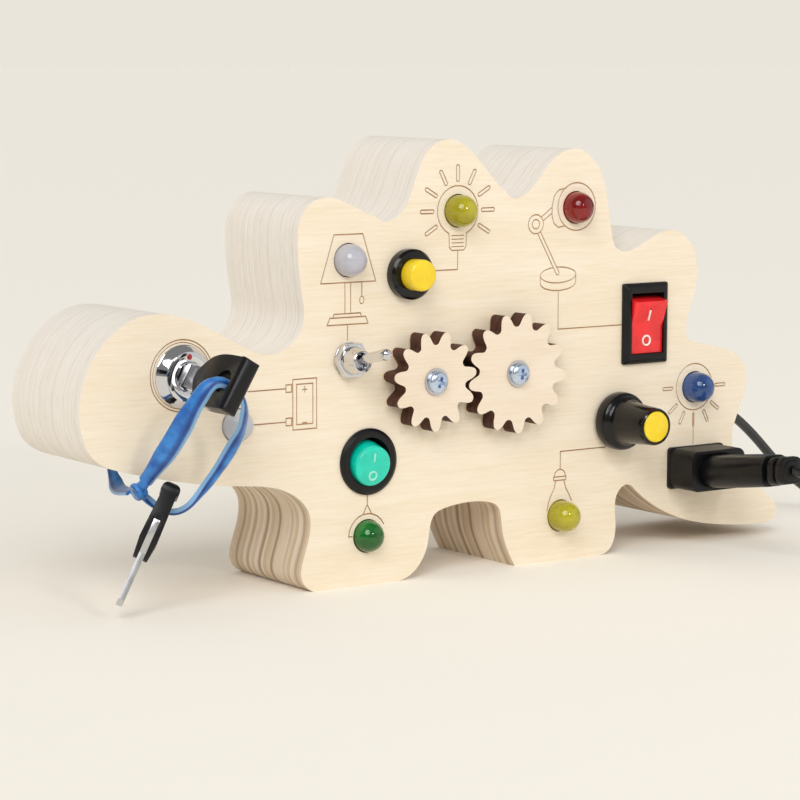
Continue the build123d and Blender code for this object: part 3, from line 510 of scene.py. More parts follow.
# ------------------------------------------------------------------ camera, floor and light
@dataclass
class Studio:
    """The floor, the lamps and the camera."""

    eye: Point = (-0.40350, -0.55896, 0.12890)
    turn_deg: float = 34.763
    drop_deg: float = 7.127
    roll_deg: float = 0.117
    lens_mm: float = 127.2
    sensor_mm: float = 36.0
    clip: tuple[float, float] = (0.01, 50.0)
    floor_size: float = 30.0
    floor_tone: str = "#faf5eb"
    backdrop: str = "#eae5da"
    room_tone: str = "#f2f1ef"
    room_light: float = 0.63
    room_gloss: float = 0.3
    suns: tuple[tuple[str, Point, float, float], ...] = (
        ("key", (0.72, 0.76, -0.8), 35.0, 1.36), ("fill", (-0.8, 0.7, -0.3), 70.0, 0.5))
    window_size: float = 0.13
    window_power: float = 1.6
    window_at: Point = (-0.02, -1.0, 0.52)
    window_aim: Point = (0.02, 1.0, -0.45)
    card_tone: str = "#1a1a1c"
    cards: tuple[tuple[str, Point, tuple[float, float]], ...] = (
        ("low card", (-0.30, -0.75, 0.03), (0.5, 0.05)), ("left card", (-0.75, -0.35, 0.22), (0.22, 0.16)),
        ("right card", (0.30, -0.80, 0.22), (0.10, 0.30)), ("high card", (-0.25, -0.6, 0.52), (0.35, 0.06)))
    cards_face: Point = (-0.05, 0.0, 0.05)

    def camera(self) -> None:
        """Set the camera at the height and turn of someone sitting at the table."""
        data = bpy.data.cameras.new("camera")
        data.lens, data.sensor_width = self.lens_mm, self.sensor_mm
        data.clip_start, data.clip_end = self.clip
        turn, drop, roll = (math.radians(a) for a in (self.turn_deg, self.drop_deg, self.roll_deg))
        ahead = Vector((math.sin(turn) * math.cos(drop), math.cos(turn) * math.cos(drop), -math.sin(drop)))
        side = ahead.cross(Vector((0, 0, 1))).normalized()
        top = side.cross(ahead)
        right = side * math.cos(roll) + top * math.sin(roll)
        up = top * math.cos(roll) - side * math.sin(roll)
        camera = bpy.data.objects.new("camera", data)
        camera.matrix_world = Matrix((right, up, -ahead)).transposed().to_4x4()
        camera.location = self.eye
        bpy.context.scene.collection.objects.link(camera)
        bpy.context.scene.camera = camera

    def floor(self) -> None:
        """Lay a pale floor."""
        floor = started(bpy.ops.mesh.primitive_plane_add, size=self.floor_size, location=(0, 0, 0))
        floor.name = floor.data.name = "floor"
        floor.data.materials.append(chalk("floor, matte pale", self.floor_tone))

    def room(self) -> None:
        """Make the world a plain pale room, dimmer in reflections than it is to the eye."""
        world = bpy.data.worlds.new("room")
        bpy.context.scene.world = world
        world.use_nodes = True
        tree = world.node_tree
        tree.nodes.clear()
        ray = add_node(tree, "LightPath").outputs
        soft = add_node(tree, "Background", {"Color": linear(self.room_tone), "Strength": self.room_light})
        dim = add_node(tree, "Background", {"Color": linear(self.room_tone), "Strength": self.room_gloss})
        lit = add_node(tree, "MixShader", {0: ray["Is Glossy Ray"], 1: soft, 2: dim})
        seen = add_node(tree, "Background", {"Color": linear(self.backdrop), "Strength": 1.0})
        shown = add_node(tree, "Math", {0: ray["Is Camera Ray"], 1: ray["Is Transmission Ray"]},
                         operation="MAXIMUM")
        mix = add_node(tree, "MixShader", {0: shown, 1: lit, 2: seen})
        add_node(tree, "OutputWorld", {"Surface": mix})

    @staticmethod
    def hang(light: bpy.types.Light, aim: Point, at: Point = (0.0, 0.0, 0.0)) -> None:
        """Hang one lamp.

        Args:
            light: The lamp's light.
            aim: The direction in which it shines.
            at: Where it hangs, in metres.
        """
        lamp = bpy.data.objects.new(light.name, light)
        lamp.location = at
        lamp.rotation_euler = Vector(aim).to_track_quat("-Z", "Y").to_euler()
        bpy.context.scene.collection.objects.link(lamp)

    def lamps(self) -> None:
        """Light the table: a broad key at the upper left, a weak fill, and a small bright window."""
        for name, aim, spread, strength in self.suns:
            sun = bpy.data.lights.new(name, "SUN")
            sun.angle, sun.energy = math.radians(spread), strength
            self.hang(sun, aim)
        window = bpy.data.lights.new("window", "AREA")
        window.size, window.energy = self.window_size, self.window_power
        self.hang(window, self.window_aim, self.window_at)
        bpy.context.scene.view_settings.view_transform = "Standard"

    def flags(self) -> None:
        """Stand dark cards outside the picture, which polished metal and black plastic mirror."""
        black = chalk("card, black", self.card_tone)
        for name, place, (width, height) in self.cards:
            card = started(bpy.ops.mesh.primitive_plane_add, size=1.0, location=place)
            card.name = card.data.name = name
            card.scale = (width, height, 1)
            card.rotation_euler = (Vector(self.cards_face) - Vector(place)).to_track_quat("Z", "Y").to_euler()
            card.data.materials.append(black)
            for ray in ("camera", "diffuse", "transmission", "shadow"):
                setattr(card, f"visible_{ray}", False)

    def build(self) -> None:
        """Set up the camera, the floor, the room, the lamps and the cards."""
        self.camera()
        self.floor()
        self.room()
        self.lamps()
        self.flags()


# ------------------------------------------------------------------ cords
def smooth_line(points: Sequence[Point]) -> list[Vector]:
    """Follow a NURBS spline through its route.

    Args:
        points: The route's control points, in millimetres from the front face.

    Returns:
        Points close together along the spline, in the row frame.
    """
    curve = bpy.data.curves.new("route", "CURVE")
    curve.dimensions = "3D"
    curve.resolution_u = 14
    spline = curve.splines.new("NURBS")
    spline.points.add(len(points) - 1)
    for control, point in zip(spline.points, points):
        control.co = (*spot(*point), 1.0)
    spline.order_u = 3
    spline.use_endpoint_u = True
    holder = bpy.data.objects.new("route", curve)
    bpy.context.scene.collection.objects.link(holder)
    bpy.context.view_layer.update()
    evaluated = holder.evaluated_get(bpy.context.evaluated_depsgraph_get())
    mesh = bpy.data.meshes.new_from_object(evaluated)
    line = [vertex.co.copy() for vertex in mesh.vertices]
    bpy.data.meshes.remove(mesh)
    bpy.data.objects.remove(holder)
    bpy.data.curves.remove(curve)
    return line


def heading(line: Sequence[Vector], index: int) -> Vector:
    """The direction in which a line runs at one of its points."""
    return (line[min(index + 1, len(line) - 1)] - line[max(index - 1, 0)]).normalized()


def length_of(line: Sequence[Vector]) -> float:
    """The length of a line of points."""
    return sum((there - here).length for here, there in zip(line, line[1:]))


# ------------------------------------------------------------------ finishes
def per_mm(x: float, y: float, z: float) -> Point:
    """The Mapping scale of a pattern that has so many units in a millimetre along each axis."""
    return (x * 1000, y * 1000, z * 1000)


@dataclass(frozen=True)
class Finish:
    """What a surface is made of; the subclasses add how it looks."""

    name: str
    slot: str

    def material(self) -> bpy.types.Material:
        """Make the material, once.

        Returns:
            The material.
        """
        known = bpy.data.materials.get(self.name)
        if known is not None:
            return known
        material = blank_material(self.name)
        add = partial(add_node, material.node_tree)
        shader = add("BsdfPrincipled", self.surface(add, add("TexCoord")))
        add("OutputMaterial", {"Surface": shader})
        return material

    def surface(self, add: Adder, place: Node) -> Inputs:
        """Draw the pattern; each finish has its own.

        Args:
            add: Adds a node to the material.
            place: The material's texture coordinates.

        Returns:
            What goes into the shader.
        """
        raise NotImplementedError


class EdgeKind(Enum):
    """How the sides of a wooden piece were left."""

    SANDED_PLY = "sanded"
    BURNT_BY_THE_LASER = "burnt"


@dataclass(frozen=True)
class BirchPly(Finish):
    """Birch plywood: a pale, fine-grained face, and sides where the veneers show as bands."""

    pale: str = "#f0e4d0"
    warm: str = "#ebdcc3"
    edge: EdgeKind = EdgeKind.SANDED_PLY
    veneer_mm: float = 1.33
    layer_mm: float = 5.34
    # Painted shade: the heights in millimetres between which the sides go from fully shaded to unshaded.
    low_shade_mm: tuple[float, float] = (18.0, 40.0)
    scorched_mm: tuple[float, float] = (0.1, 0.5)
    veneers: tuple[str, str] = ("#f2ebe1", "#f5efe6")
    # Painted shade: darker veneers with more contrast, for the shaded sides low down.
    shaded_veneers: tuple[str, str] = ("#dfd0ba", "#f7f0e6")
    glue_part: float = 0.12
    glue: tuple[str, str] = ("#d6c9b5", "#ebe3d6")
    # Painted shade: a warm tint multiplied in low down, for the shade and warm bounce light under the legs.
    painted_shade_tint: str = "#e8d6bb"
    seam_part: tuple[float, float] = (0.02, 0.19)
    seam: str = "#a78c6e"
    char: tuple[str, str] = ("#a97f57", "#c09b73")

    def face(self, add: Adder, place: Node) -> Node:
        """Draw grain that runs the length of the board: streaks some 3 mm wide with fibres between them.

        Args:
            add: Adds a node to the material.
            place: The material's texture coordinates.

        Returns:
            The node that gives the colour.
        """
        along = add("Mapping", {"Vector": place.outputs["Object"], "Scale": per_mm(0.018, 0.2, 0.16)})
        streaks = add("TexNoise", {"Vector": along, "Scale": 1.0, "Detail": 4.0, "Roughness": 0.55, "Distortion": 0.6})
        ground = add("ValToRGB", {"Fac": streaks}, ((0.25, self.warm), (0.7, self.pale)))
        finer = add("Mapping", {"Vector": place.outputs["Object"], "Scale": per_mm(0.12, 0.8, 2.2)})
        fibres = add("TexNoise", {"Vector": finer, "Scale": 1.0, "Detail": 3.0, "Roughness": 0.6})
        hairs = add("ValToRGB", {"Fac": fibres}, ((0.3, "#f6efe2"), (0.6, "#ffffff")))
        return add("Mix", {SHARE: 0.55, FIRST: ground, SECOND: hairs}, **TINTED)

    def veneered(self, add: Adder, place: Node, ply: Node, low: Node) -> Node:
        """Draw the veneers on edge, worn along their grain, dark glue beside every third, and painted shade low down.

        Args:
            add: Adds a node to the material.
            place: The material's texture coordinates.
            ply: The node that counts the veneers from the front face.
            low: The node that gives how low down the wood is, from 0 to 1, which sets the painted shade.

        Returns:
            The node that gives the colour.
        """
        tone = add("TexWhiteNoise", {"W": add("Math", {0: ply}, operation="FLOOR")}, noise_dimensions="1D")
        high = add("ValToRGB", {"Fac": tone}, tuple(zip((0.1, 0.9), self.veneers)))
        # Painted shade: low down the veneers turn darker and more contrasted.
        deep = add("ValToRGB", {"Fac": tone}, tuple(zip((0.1, 0.9), self.shaded_veneers)))
        veneer = add("Mix", {SHARE: low, FIRST: high, SECOND: deep}, **LAYERED)
        glued = add("Math", {0: add("Math", {0: ply}, operation="FRACT"), 1: self.glue_part}, operation="LESS_THAN")
        third = add("Math", {0: tone, 1: 0.66}, operation="GREATER_THAN")
        dark = add("Math", {0: glued, 1: third}, operation="MULTIPLY")
        pores = add("Mapping", {"Vector": place.outputs["Object"], "Scale": per_mm(0.25, 2.5, 0.25)})
        rough = add("TexNoise", {"Vector": pores, "Scale": 1.0, "Detail": 3.0})
        worn = add("ValToRGB", {"Fac": rough}, ((0.3, "#f3eee7"), (0.66, "#ffffff")))
        wood = add("Mix", {SHARE: 0.55, FIRST: veneer, SECOND: worn}, **TINTED)
        line = add("ValToRGB", {"Fac": rough}, tuple(zip((0.3, 0.7), self.glue)))
        return add("Mix", {SHARE: dark, FIRST: wood, SECOND: line}, **LAYERED)

    def seams(self, add: Adder, layer: Node, low: Node) -> Node:
        """Find the glued seams between the layers, some stronger than others, made strongest low down by painted shade.

        Args:
            add: Adds a node to the material.
            layer: The node that counts the layers from behind the front panel.
            low: The node that gives how low down the wood is, from 0 to 1, which sets the painted shade.

        Returns:
            The node that gives the seam's strength.
        """
        odds = add("TexWhiteNoise", {"W": add("Math", {0: layer}, operation="ROUND")}, noise_dimensions="1D")
        away = add("Math", {0: layer, 1: 0.5}, operation="PINGPONG")
        near, far = self.seam_part
        seam = add("MapRange", {"Value": away, "From Min": near, "From Max": far, "To Min": 1.0, "To Max": 0.0},
                   interpolation_type="SMOOTHSTEP")
        # Painted shade: the seams grow stronger low down.
        force = add("Math", {0: low, 1: 0.7, 2: 0.06}, operation="MULTIPLY_ADD")
        luck = add("Math", {0: odds, 1: 0.75, 2: 0.3}, operation="MULTIPLY_ADD")
        force = add("Math", {0: force, 1: luck}, operation="MULTIPLY")
        return add("Math", {0: seam, 1: force}, operation="MULTIPLY")

    def bands(self, add: Adder, place: Node, depth: Node) -> Node:
        """Draw the sides: the veneers, the seams between the layers, and painted shade low down, darker and warmer.

        Args:
            add: Adds a node to the material.
            place: The material's texture coordinates.
            depth: The node that gives the depth from the front face, in millimetres.

        Returns:
            The node that gives the colour.
        """
        # Painted shade: full below the lower height, gone above the upper one.
        height = add("SeparateXYZ", {0: place.outputs["Object"]}).outputs["Z"]
        dull, unshaded_above_mm = self.low_shade_mm
        low = add("MapRange", {"Value": height, "From Min": mm(dull), "From Max": mm(unshaded_above_mm), "To Min": 1.0,
                               "To Max": 0.0}, interpolation_type="SMOOTHSTEP")
        slow = add("Mapping", {"Vector": place.outputs["Object"], "Scale": per_mm(0.03, 0.0, 0.03)})
        wander = add("TexNoise", {"Vector": slow, "Scale": 1.0, "Detail": 2.0})
        drift = add("Math", {0: wander, 1: 0.5}, operation="MULTIPLY")
        ply = add("Math", {0: depth, 1: self.veneer_mm}, operation="DIVIDE")
        ply = add("Math", {0: ply, 1: drift}, operation="ADD")
        wood = self.veneered(add, place, ply, low)
        # Painted shade: the warm tint, at half strength where the shade is full.
        half = add("Math", {0: low, 1: 0.5}, operation="MULTIPLY")
        wood = add("Mix", {SHARE: half, FIRST: wood, SECOND: linear(self.painted_shade_tint)}, **TINTED)
        layer = add("Math", {0: depth, 1: PANEL_T}, operation="SUBTRACT")
        layer = add("Math", {0: layer, 1: self.layer_mm}, operation="DIVIDE")
        layer = add("Math", {0: wander, 1: 0.12, 2: layer}, operation="MULTIPLY_ADD")
        seam = self.seams(add, layer, low)
        return add("Mix", {SHARE: seam, FIRST: wood, SECOND: linear(self.seam)}, **TINTED)

    def burnt(self, add: Adder, place: Node) -> Node:
        """Draw the laser's char, red-brown and a little uneven.

        Args:
            add: Adds a node to the material.
            place: The material's texture coordinates.

        Returns:
            The node that gives the colour.
        """
        patches = add("Mapping", {"Vector": place.outputs["Object"], "Scale": per_mm(0.35, 0.9, 0.35)})
        soot = add("TexNoise", {"Vector": patches, "Scale": 1.0, "Detail": 3.0})
        return add("ValToRGB", {"Fac": soot}, tuple(zip((0.3, 0.7), self.char)))

    def surface(self, add: Adder, place: Node) -> Inputs:
        """Draw grain on the flats, plies or char on the sides, and a scorched floor in the engraved lines.

        Args:
            add: Adds a node to the material.
            place: The material's texture coordinates.

        Returns:
            What goes into the shader.
        """
        depth = add("SeparateXYZ", {0: place.outputs["Object"]}).outputs["Y"]
        depth = add("Math", {0: depth, 1: 1000.0, 2: -FACE_SHIFT}, operation="MULTIPLY_ADD")
        facing = add("SeparateXYZ", {0: place.outputs["Normal"]}).outputs["Y"]
        upright = add("Math", {0: facing}, operation="ABSOLUTE")
        side = add("Math", {0: upright, 1: 0.5}, operation="LESS_THAN")
        colour, char = self.face(add, place), self.burnt(add, place)
        if self.edge is EdgeKind.SANDED_PLY:
            bands = self.bands(add, place, depth)
            colour = add("Mix", {SHARE: side, FIRST: colour, SECOND: bands}, **LAYERED)
            top, bottom = self.scorched_mm
            below = add("Math", {0: depth, 1: top}, operation="GREATER_THAN")
            above = add("Math", {0: depth, 1: bottom}, operation="LESS_THAN")
            scorch = add("Math", {0: below, 1: above}, operation="MULTIPLY")
            front = add("Math", {0: facing, 1: -0.5}, operation="LESS_THAN")
            side = add("Math", {0: scorch, 1: front}, operation="MULTIPLY")
        colour = add("Mix", {SHARE: side, FIRST: colour, SECOND: char}, **LAYERED)
        cells = add("Mapping", {"Vector": place.outputs["Object"], "Scale": per_mm(0.3, 3.0, 3.0)})
        grain = add("TexNoise", {"Vector": cells, "Scale": 1.0, "Detail": 4.0})
        relief = add("Bump", {"Height": grain, "Strength": 0.12, "Distance": mm(0.2)})
        return {"Base Color": colour, "Normal": relief, "Roughness": 0.62, "IOR": 1.45}


@dataclass(frozen=True)
class Metal(Finish):
    """A metal: polished, plated or brushed. It keeps the default index of refraction."""

    colour: str = "#d8d8da"
    roughness: float = 0.15
    grit_per_mm: float = 1.2
    scuff: float = 0.08

    def surface(self, add: Adder, place: Node) -> Inputs:
        """Break the gloss with faint handling marks.

        Args:
            add: Adds a node to the material.
            place: The material's texture coordinates.

        Returns:
            What goes into the shader.
        """
        grit = self.grit_per_mm
        strokes = add("Mapping", {"Vector": place.outputs["Object"], "Scale": per_mm(grit, grit * 0.3, grit)})
        marks = add("TexNoise", {"Vector": strokes, "Scale": 1.0, "Detail": 4.0})
        gloss = add("MapRange", {"Value": marks, "From Min": 0.3, "From Max": 0.7,
                                 "To Min": max(0.02, self.roughness - self.scuff / 2),
                                 "To Max": self.roughness + self.scuff})
        return {"Base Color": linear(self.colour), "Metallic": 1.0, "Roughness": gloss}


@dataclass(frozen=True)
class Moulded(Finish):
    """Moulded plastic: coloured right through, glossy from the polished mould or matte from a sparked one."""

    colour: str = "#101012"
    shade: str = "#0a0a0c"
    roughness: float = 0.3
    grain_per_mm: float = 3.0
    relief: float = 0.05
    coat: float = 0.0
    shine: float = 0.5

    def surface(self, add: Adder, place: Node) -> Inputs:
        """Draw the mould's fine grain in gloss and relief, and a slight cloud in the colour.

        Args:
            add: Adds a node to the material.
            place: The material's texture coordinates.

        Returns:
            What goes into the shader.
        """
        wide = add("Mapping", {"Vector": place.outputs["Object"], "Scale": per_mm(0.25, 0.25, 0.25)})
        cloud = add("TexNoise", {"Vector": wide, "Scale": 1.0, "Detail": 2.0})
        colour = add("ValToRGB", {"Fac": cloud}, ((0.35, self.shade), (0.65, self.colour)))
        fine = add("Mapping", {"Vector": place.outputs["Object"], "Scale": per_mm(*(self.grain_per_mm,) * 3)})
        grain = add("TexNoise", {"Vector": fine, "Scale": 1.0, "Detail": 2.0})
        gloss = add("MapRange", {"Value": grain, "To Min": max(0.03, self.roughness - 0.06),
                                 "To Max": self.roughness + 0.06})
        relief = add("Bump", {"Height": grain, "Strength": self.relief, "Distance": mm(0.15)})
        return {"Base Color": colour, "Roughness": gloss, "Normal": relief, "IOR": 1.5,
                "Specular IOR Level": self.shine, "Coat Weight": self.coat, "Coat Roughness": 0.06}


@dataclass(frozen=True)
class Lens(Finish):
    """A lamp's cast epoxy lens, tinted and a little cloudy, so that the cup inside just shows."""

    deep: str = "#7d1418"
    light: str = "#d0383a"
    clearness: float = 0.35

    def surface(self, add: Adder, place: Node) -> Inputs:
        """Draw a tint that varies over some 7 mm.

        Args:
            add: Adds a node to the material.
            place: The material's texture coordinates.

        Returns:
            What goes into the shader.
        """
        wide = add("Mapping", {"Vector": place.outputs["Object"], "Scale": per_mm(0.14, 0.14, 0.14)})
        cloud = add("TexNoise", {"Vector": wide, "Scale": 1.0, "Detail": 0.0})
        tint = add("ValToRGB", {"Fac": cloud}, ((0.35, self.deep), (0.65, self.light)))
        return {"Base Color": tint, "Roughness": 0.05, "IOR": 1.53, "Specular IOR Level": 0.42,
                "Transmission Weight": self.clearness, "Subsurface Weight": 0.06,
                "Subsurface Radius": (mm(2),) * 3, "Coat Weight": 0.4, "Coat Roughness": 0.015}


@dataclass(frozen=True)
class Ribbon(Finish):
    """Woven polyester ribbon: fine ribs across its width and a soft sheen. Reads its own UV, in metres."""

    deep: str = "#1a5aa8"
    light: str = "#398fd6"
    # Painted highlight along one edge of the face, and painted shade for the fold beside it.
    edge_highlight: str = "#9fd2f8"
    fold_shade: str = "#4a6aa0"
    rib_mm: float = 0.5

    def surface(self, add: Adder, place: Node) -> Inputs:
        """Draw ribs 0.5 mm apart, since the real ones at 0.3 mm are too fine to show.

        Args:
            add: Adds a node to the material.
            place: The material's texture coordinates.

        Returns:
            What goes into the shader.
        """
        along = add("UVMap", uv_map="along")
        ribs = add("TexWave", {"Vector": along, "Scale": 1000 / self.rib_mm / 20 * math.tau, "Distortion": 0.4,
                               "Detail": 1.0}, bands_direction="X").outputs["Fac"]
        wide = add("Mapping", {"Vector": place.outputs["Object"], "Scale": per_mm(0.3, 0.3, 0.3)})
        cloud = add("TexNoise", {"Vector": wide, "Scale": 1.0, "Detail": 2.0})
        ground = add("ValToRGB", {"Fac": cloud}, ((0.3, self.deep), (0.7, self.light)))
        weave = add("ValToRGB", {"Fac": ribs}, ((0.2, "#e3ecf8"), (0.8, "#ffffff")))
        cloth = add("Mix", {SHARE: 0.8, FIRST: ground, SECOND: weave}, **TINTED)
        across = add("SeparateXYZ", {0: along}).outputs["Y"]
        # Painted shade: a darker band across the face beside one edge, for a fold.
        fold_shade = add("MapRange", {"Value": across, "From Min": mm(1.6), "From Max": mm(2.8), "To Min": 0.8,
                                "To Max": 0.0}, interpolation_type="SMOOTHSTEP")
        cloth = add("Mix", {SHARE: fold_shade, FIRST: cloth, SECOND: linear(self.fold_shade)}, **TINTED)
        # Painted highlight: a pale line along that edge.
        edge = add("MapRange", {"Value": across, "From Min": mm(0.95), "From Max": mm(1.4), "To Min": 0.6,
                                "To Max": 0.0}, interpolation_type="SMOOTHSTEP")
        cloth = add("Mix", {SHARE: edge, FIRST: cloth, SECOND: linear(self.edge_highlight)}, **LAYERED)
        relief = add("Bump", {"Height": ribs, "Strength": 0.2, "Distance": mm(0.08)})
        return {"Base Color": cloth, "Normal": relief, "Roughness": 0.33, "Sheen Weight": 0.5,
                "Sheen Roughness": 0.4, "IOR": 1.5}


@dataclass(frozen=True)
class Sleeve(Finish):
    """The printed plastic sleeve of a cell: a coloured part and a dark one."""

    dark: tuple[str, str] = ("#1b1b1e", "#26262a")
    copper: tuple[str, str] = ("#a9782c", "#c08c3a")
    border_mm: float = 20.0

    def surface(self, add: Adder, place: Node) -> Inputs:
        """Draw two plain bands along the cell, slightly rubbed.

        Args:
            add: Adds a node to the material.
            place: The material's texture coordinates.

        Returns:
            What goes into the shader.
        """
        along = add("SeparateXYZ", {0: place.outputs["Object"]}).outputs["X"]
        band = add("Math", {0: along, 1: mm(self.border_mm)}, operation="GREATER_THAN")
        rubs = add("Mapping", {"Vector": place.outputs["Object"], "Scale": per_mm(0.4, 0.4, 0.4)})
        scuff = add("TexNoise", {"Vector": rubs, "Scale": 1.0, "Detail": 3.0})
        body, top = (add("ValToRGB", {"Fac": scuff}, tuple(zip((0.35, 0.65), tones)))
                     for tones in (self.dark, self.copper))
        return {"Base Color": add("Mix", {SHARE: band, FIRST: body, SECOND: top}, **LAYERED), "Roughness": 0.28}


# Dull pale faces with a faint long grain, and veneers on edge that painted shade darkens and warms toward the feet.
PLY = BirchPly("birch plywood, sanded", "plywood")
# The same wood, slightly greyer, with dark brown sides where the laser went through.
GEAR_PLY = BirchPly("birch plywood, laser cut", "gear_wood", "#ebddca", "#e4d3bc", EdgeKind.BURNT_BY_THE_LASER,
                    char=("#32180d", "#5e3320"))
# A cool mirror, hardly marked.
CHROME = Metal("chrome plate, polished", "chrome", "#d9d9dc", 0.07, 0.8, 0.03)
# A slightly soft, greyer mirror.
NICKEL = Metal("nickel-plated steel", "steel", "#c6c6ca", 0.17, 0.7, 0.05)
# A soft sheen with the blue cast of the passivated zinc.
ZINC = Metal("zinc-plated steel, blued", "steel", "#cddcf2", 0.26, 0.7, 0.06)
# Even grey with blurred reflections, as the cutter leaves it.
BLADE = Metal("nickel silver, milled", "steel", "#cfcfd0", 0.3, 0.6, 0.05)
# Warm yellow, rubbed in places.
BRASS = Metal("brass, plain", "brass", "#c9a45c", 0.25, 1.5, 0.12)
# Near black with sharp reflections.
GLOSSY = Moulded("ABS, polished black", "black_gloss", "#09090b", "#050506", 0.18, 2.0, 0.02, 0.1, 0.36)
# Near black with broad soft highlights.
MATTE = Moulded("nylon, satin black", "black_matte", "#0e0e10", "#09090b", 0.34, 3.0, 0.06, 0.0, 0.34)
# Warm yellow with a thin clear shine.
YELLOW = Moulded("ABS, yellow", "yellow", "#f0d222", "#eac71a", 0.26, 2.0, 0.03, 0.2)
# Bright red that looks wet.
RED = Moulded("polycarbonate, red", "red", "#f2242a", "#de1c20", 0.2, 2.0, 0.03, 0.3)
# Bright blue-green that looks wet.
TEAL = Moulded("polycarbonate, green", "teal", "#0cd6bb", "#06c6aa", 0.16, 2.0, 0.03, 0.4)
# Flat paint, a lighter tone of the rocker under it.
TEAL_INK = Moulded("pad-printed pale green ink", "lens_milky", "#a5ead9", "#93ddcb", 0.4, 2.0, 0.04)
# Flat warm white paint.
WHITE_INK = Moulded("pad-printed white ink", "lens_milky", "#f6efe6", "#ece4da", 0.45, 2.0, 0.04)
# A glossy dark red drop.
RED_INK = Moulded("red enamel dot", "red", "#a3121c", "#86101a", 0.25, 2.0, 0.03, 0.3)
# Black with a slight blue cast and a long highlight down each wire.
SHEATH = Moulded("PVC cord sheath", "black_matte", "#0e1015", "#090a0e", 0.24, 2.5, 0.05, 0.3, 0.5)
# Pale metal that glows through the lens.
CUP = Metal("lamp cup, silvered", "steel", "#e4e4e6", 0.3, 1.0, 0.1)
# Clear blue with a painted highlight along one edge and painted shade for the fold beside it.
RIBBON = Ribbon("polyester ribbon, woven", "ribbon")
# A copper-coloured band and a black one, both shiny.
CELL = Sleeve("cell sleeve, printed", "cell")


class Tint(Enum):
    """The lamps' lenses: coloured epoxy that looks nearly opaque from outside, with a hard bright gloss."""

    CLEAR = Lens("epoxy lens, smoky clear", "lens_clear", "#b3b2bb", "#c6c5ce", 0.12)
    MILKY = Lens("epoxy lens, milky", "lens_milky", "#c2c4cc", "#d3d6dc", 0.12)
    OLIVE = Lens("epoxy lens, olive", "lens_olive", "#a79d14", "#bdb326", 0.16)
    RED = Lens("epoxy lens, red", "lens_red", "#6e0406", "#960c0c", 0.2)
    BLUE = Lens("epoxy lens, blue", "lens_blue", "#25457a", "#335696", 0.16)
    GREEN = Lens("epoxy lens, green", "lens_green", "#085c18", "#0f7c2a", 0.2)


# ------------------------------------------------------------------ board
@dataclass
class Board:
    """The hollow plywood animal: two panels, five frame layers and the battery hatch."""

    layers: int = 5

    def build(self) -> None:
        """Finish the wood, the hatch's screws and what is behind the hatch."""
        layers = [f"frame_layer_{number + 1}" for number in range(self.layers)]
        finish_nodes(PLY, "front_panel", "back_panel", "battery_cover", *layers)
        finish_nodes(NICKEL, "battery_cover_screws", "battery_contacts")
        finish_nodes(MATTE, "battery_box")
        finish_nodes(CELL, "batteries")


# ------------------------------------------------------------------ lamps
@dataclass
class Lamp:
    """One 8 mm round lamp: a domed lens, the cup in it and its two legs."""

    name: str
    at: Place
    proud: float
    tint: Tint
    radius: float = 3.88
    rim_radius: float = 4.6
    rim_t: float = 1.2
    cup_radius: float = 2.3
    leg_side: float = 0.5
    leg_middle: float = 4.2
    leg_gap: float = 2.54
    leg_grow: float = 2.7

    def lens(self) -> Piece:
        """Turn the lens: a half ball, a straight body and the rim behind the panel.

        Returns:
            The lens.
        """
        radius = self.radius
        steps = [math.radians(angle) for angle in (6, 18, 30, 42, 54, 66, 78, 90)]
        outline = [(-self.proud - radius * math.cos(step), radius * math.sin(step)) for step in steps]
        outline += [(PANEL_T, radius), (PANEL_T, self.rim_radius), (PANEL_T + self.rim_t, self.rim_radius)]
        return turned(f"{self.name}_lens", self.at, outline, 48)

    def cup(self) -> Piece:
        """Turn the silvered cup that sits in the lens and throws the light forward.

        Returns:
            The cup.
        """
        back, wide = PANEL_T - 1.2, self.cup_radius
        outline = [(back - 1.6, 1.0), (back - 2.4, 1.9), (back - 2.4, wide), (back - 0.2, wide), (back - 0.2, 1.2),
                   (back + 0.6, 1.2)]
        return turned(f"{self.name}_cup", self.at, outline, 32)

    def legs(self) -> Piece:
        """Draw the two square legs out of the lens's back.

        Returns:
            Both legs as one piece.
        """
        rods = []
        for side in (-self.leg_gap / 2, self.leg_gap / 2):
            middle = spot(self.at[0] + side, PANEL_T + self.leg_middle, self.at[1])
            rod = settle(started(bpy.ops.mesh.primitive_cube_add, size=mm(self.leg_side), location=middle))
            with editing(rod):
                for end in (1, -1):
                    pick_faces(rod, lambda face, end=end: face.normal.y * end > 0.9)
                    bpy.ops.transform.translate(value=(0, mm(self.leg_grow * end), 0))
            rods.append(bevelled(rod, 0.06, 1))
        return joined(f"{self.name}_legs", rods)

    def build(self) -> None:
        """Make the lamp in place of its plain solid."""
        lens = fit(self.lens(), "board", self.tint.value)
        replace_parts(lens, f"led_{self.name}")
        fit(self.cup(), "board", CUP)
        fit(self.legs(), "board", NICKEL)


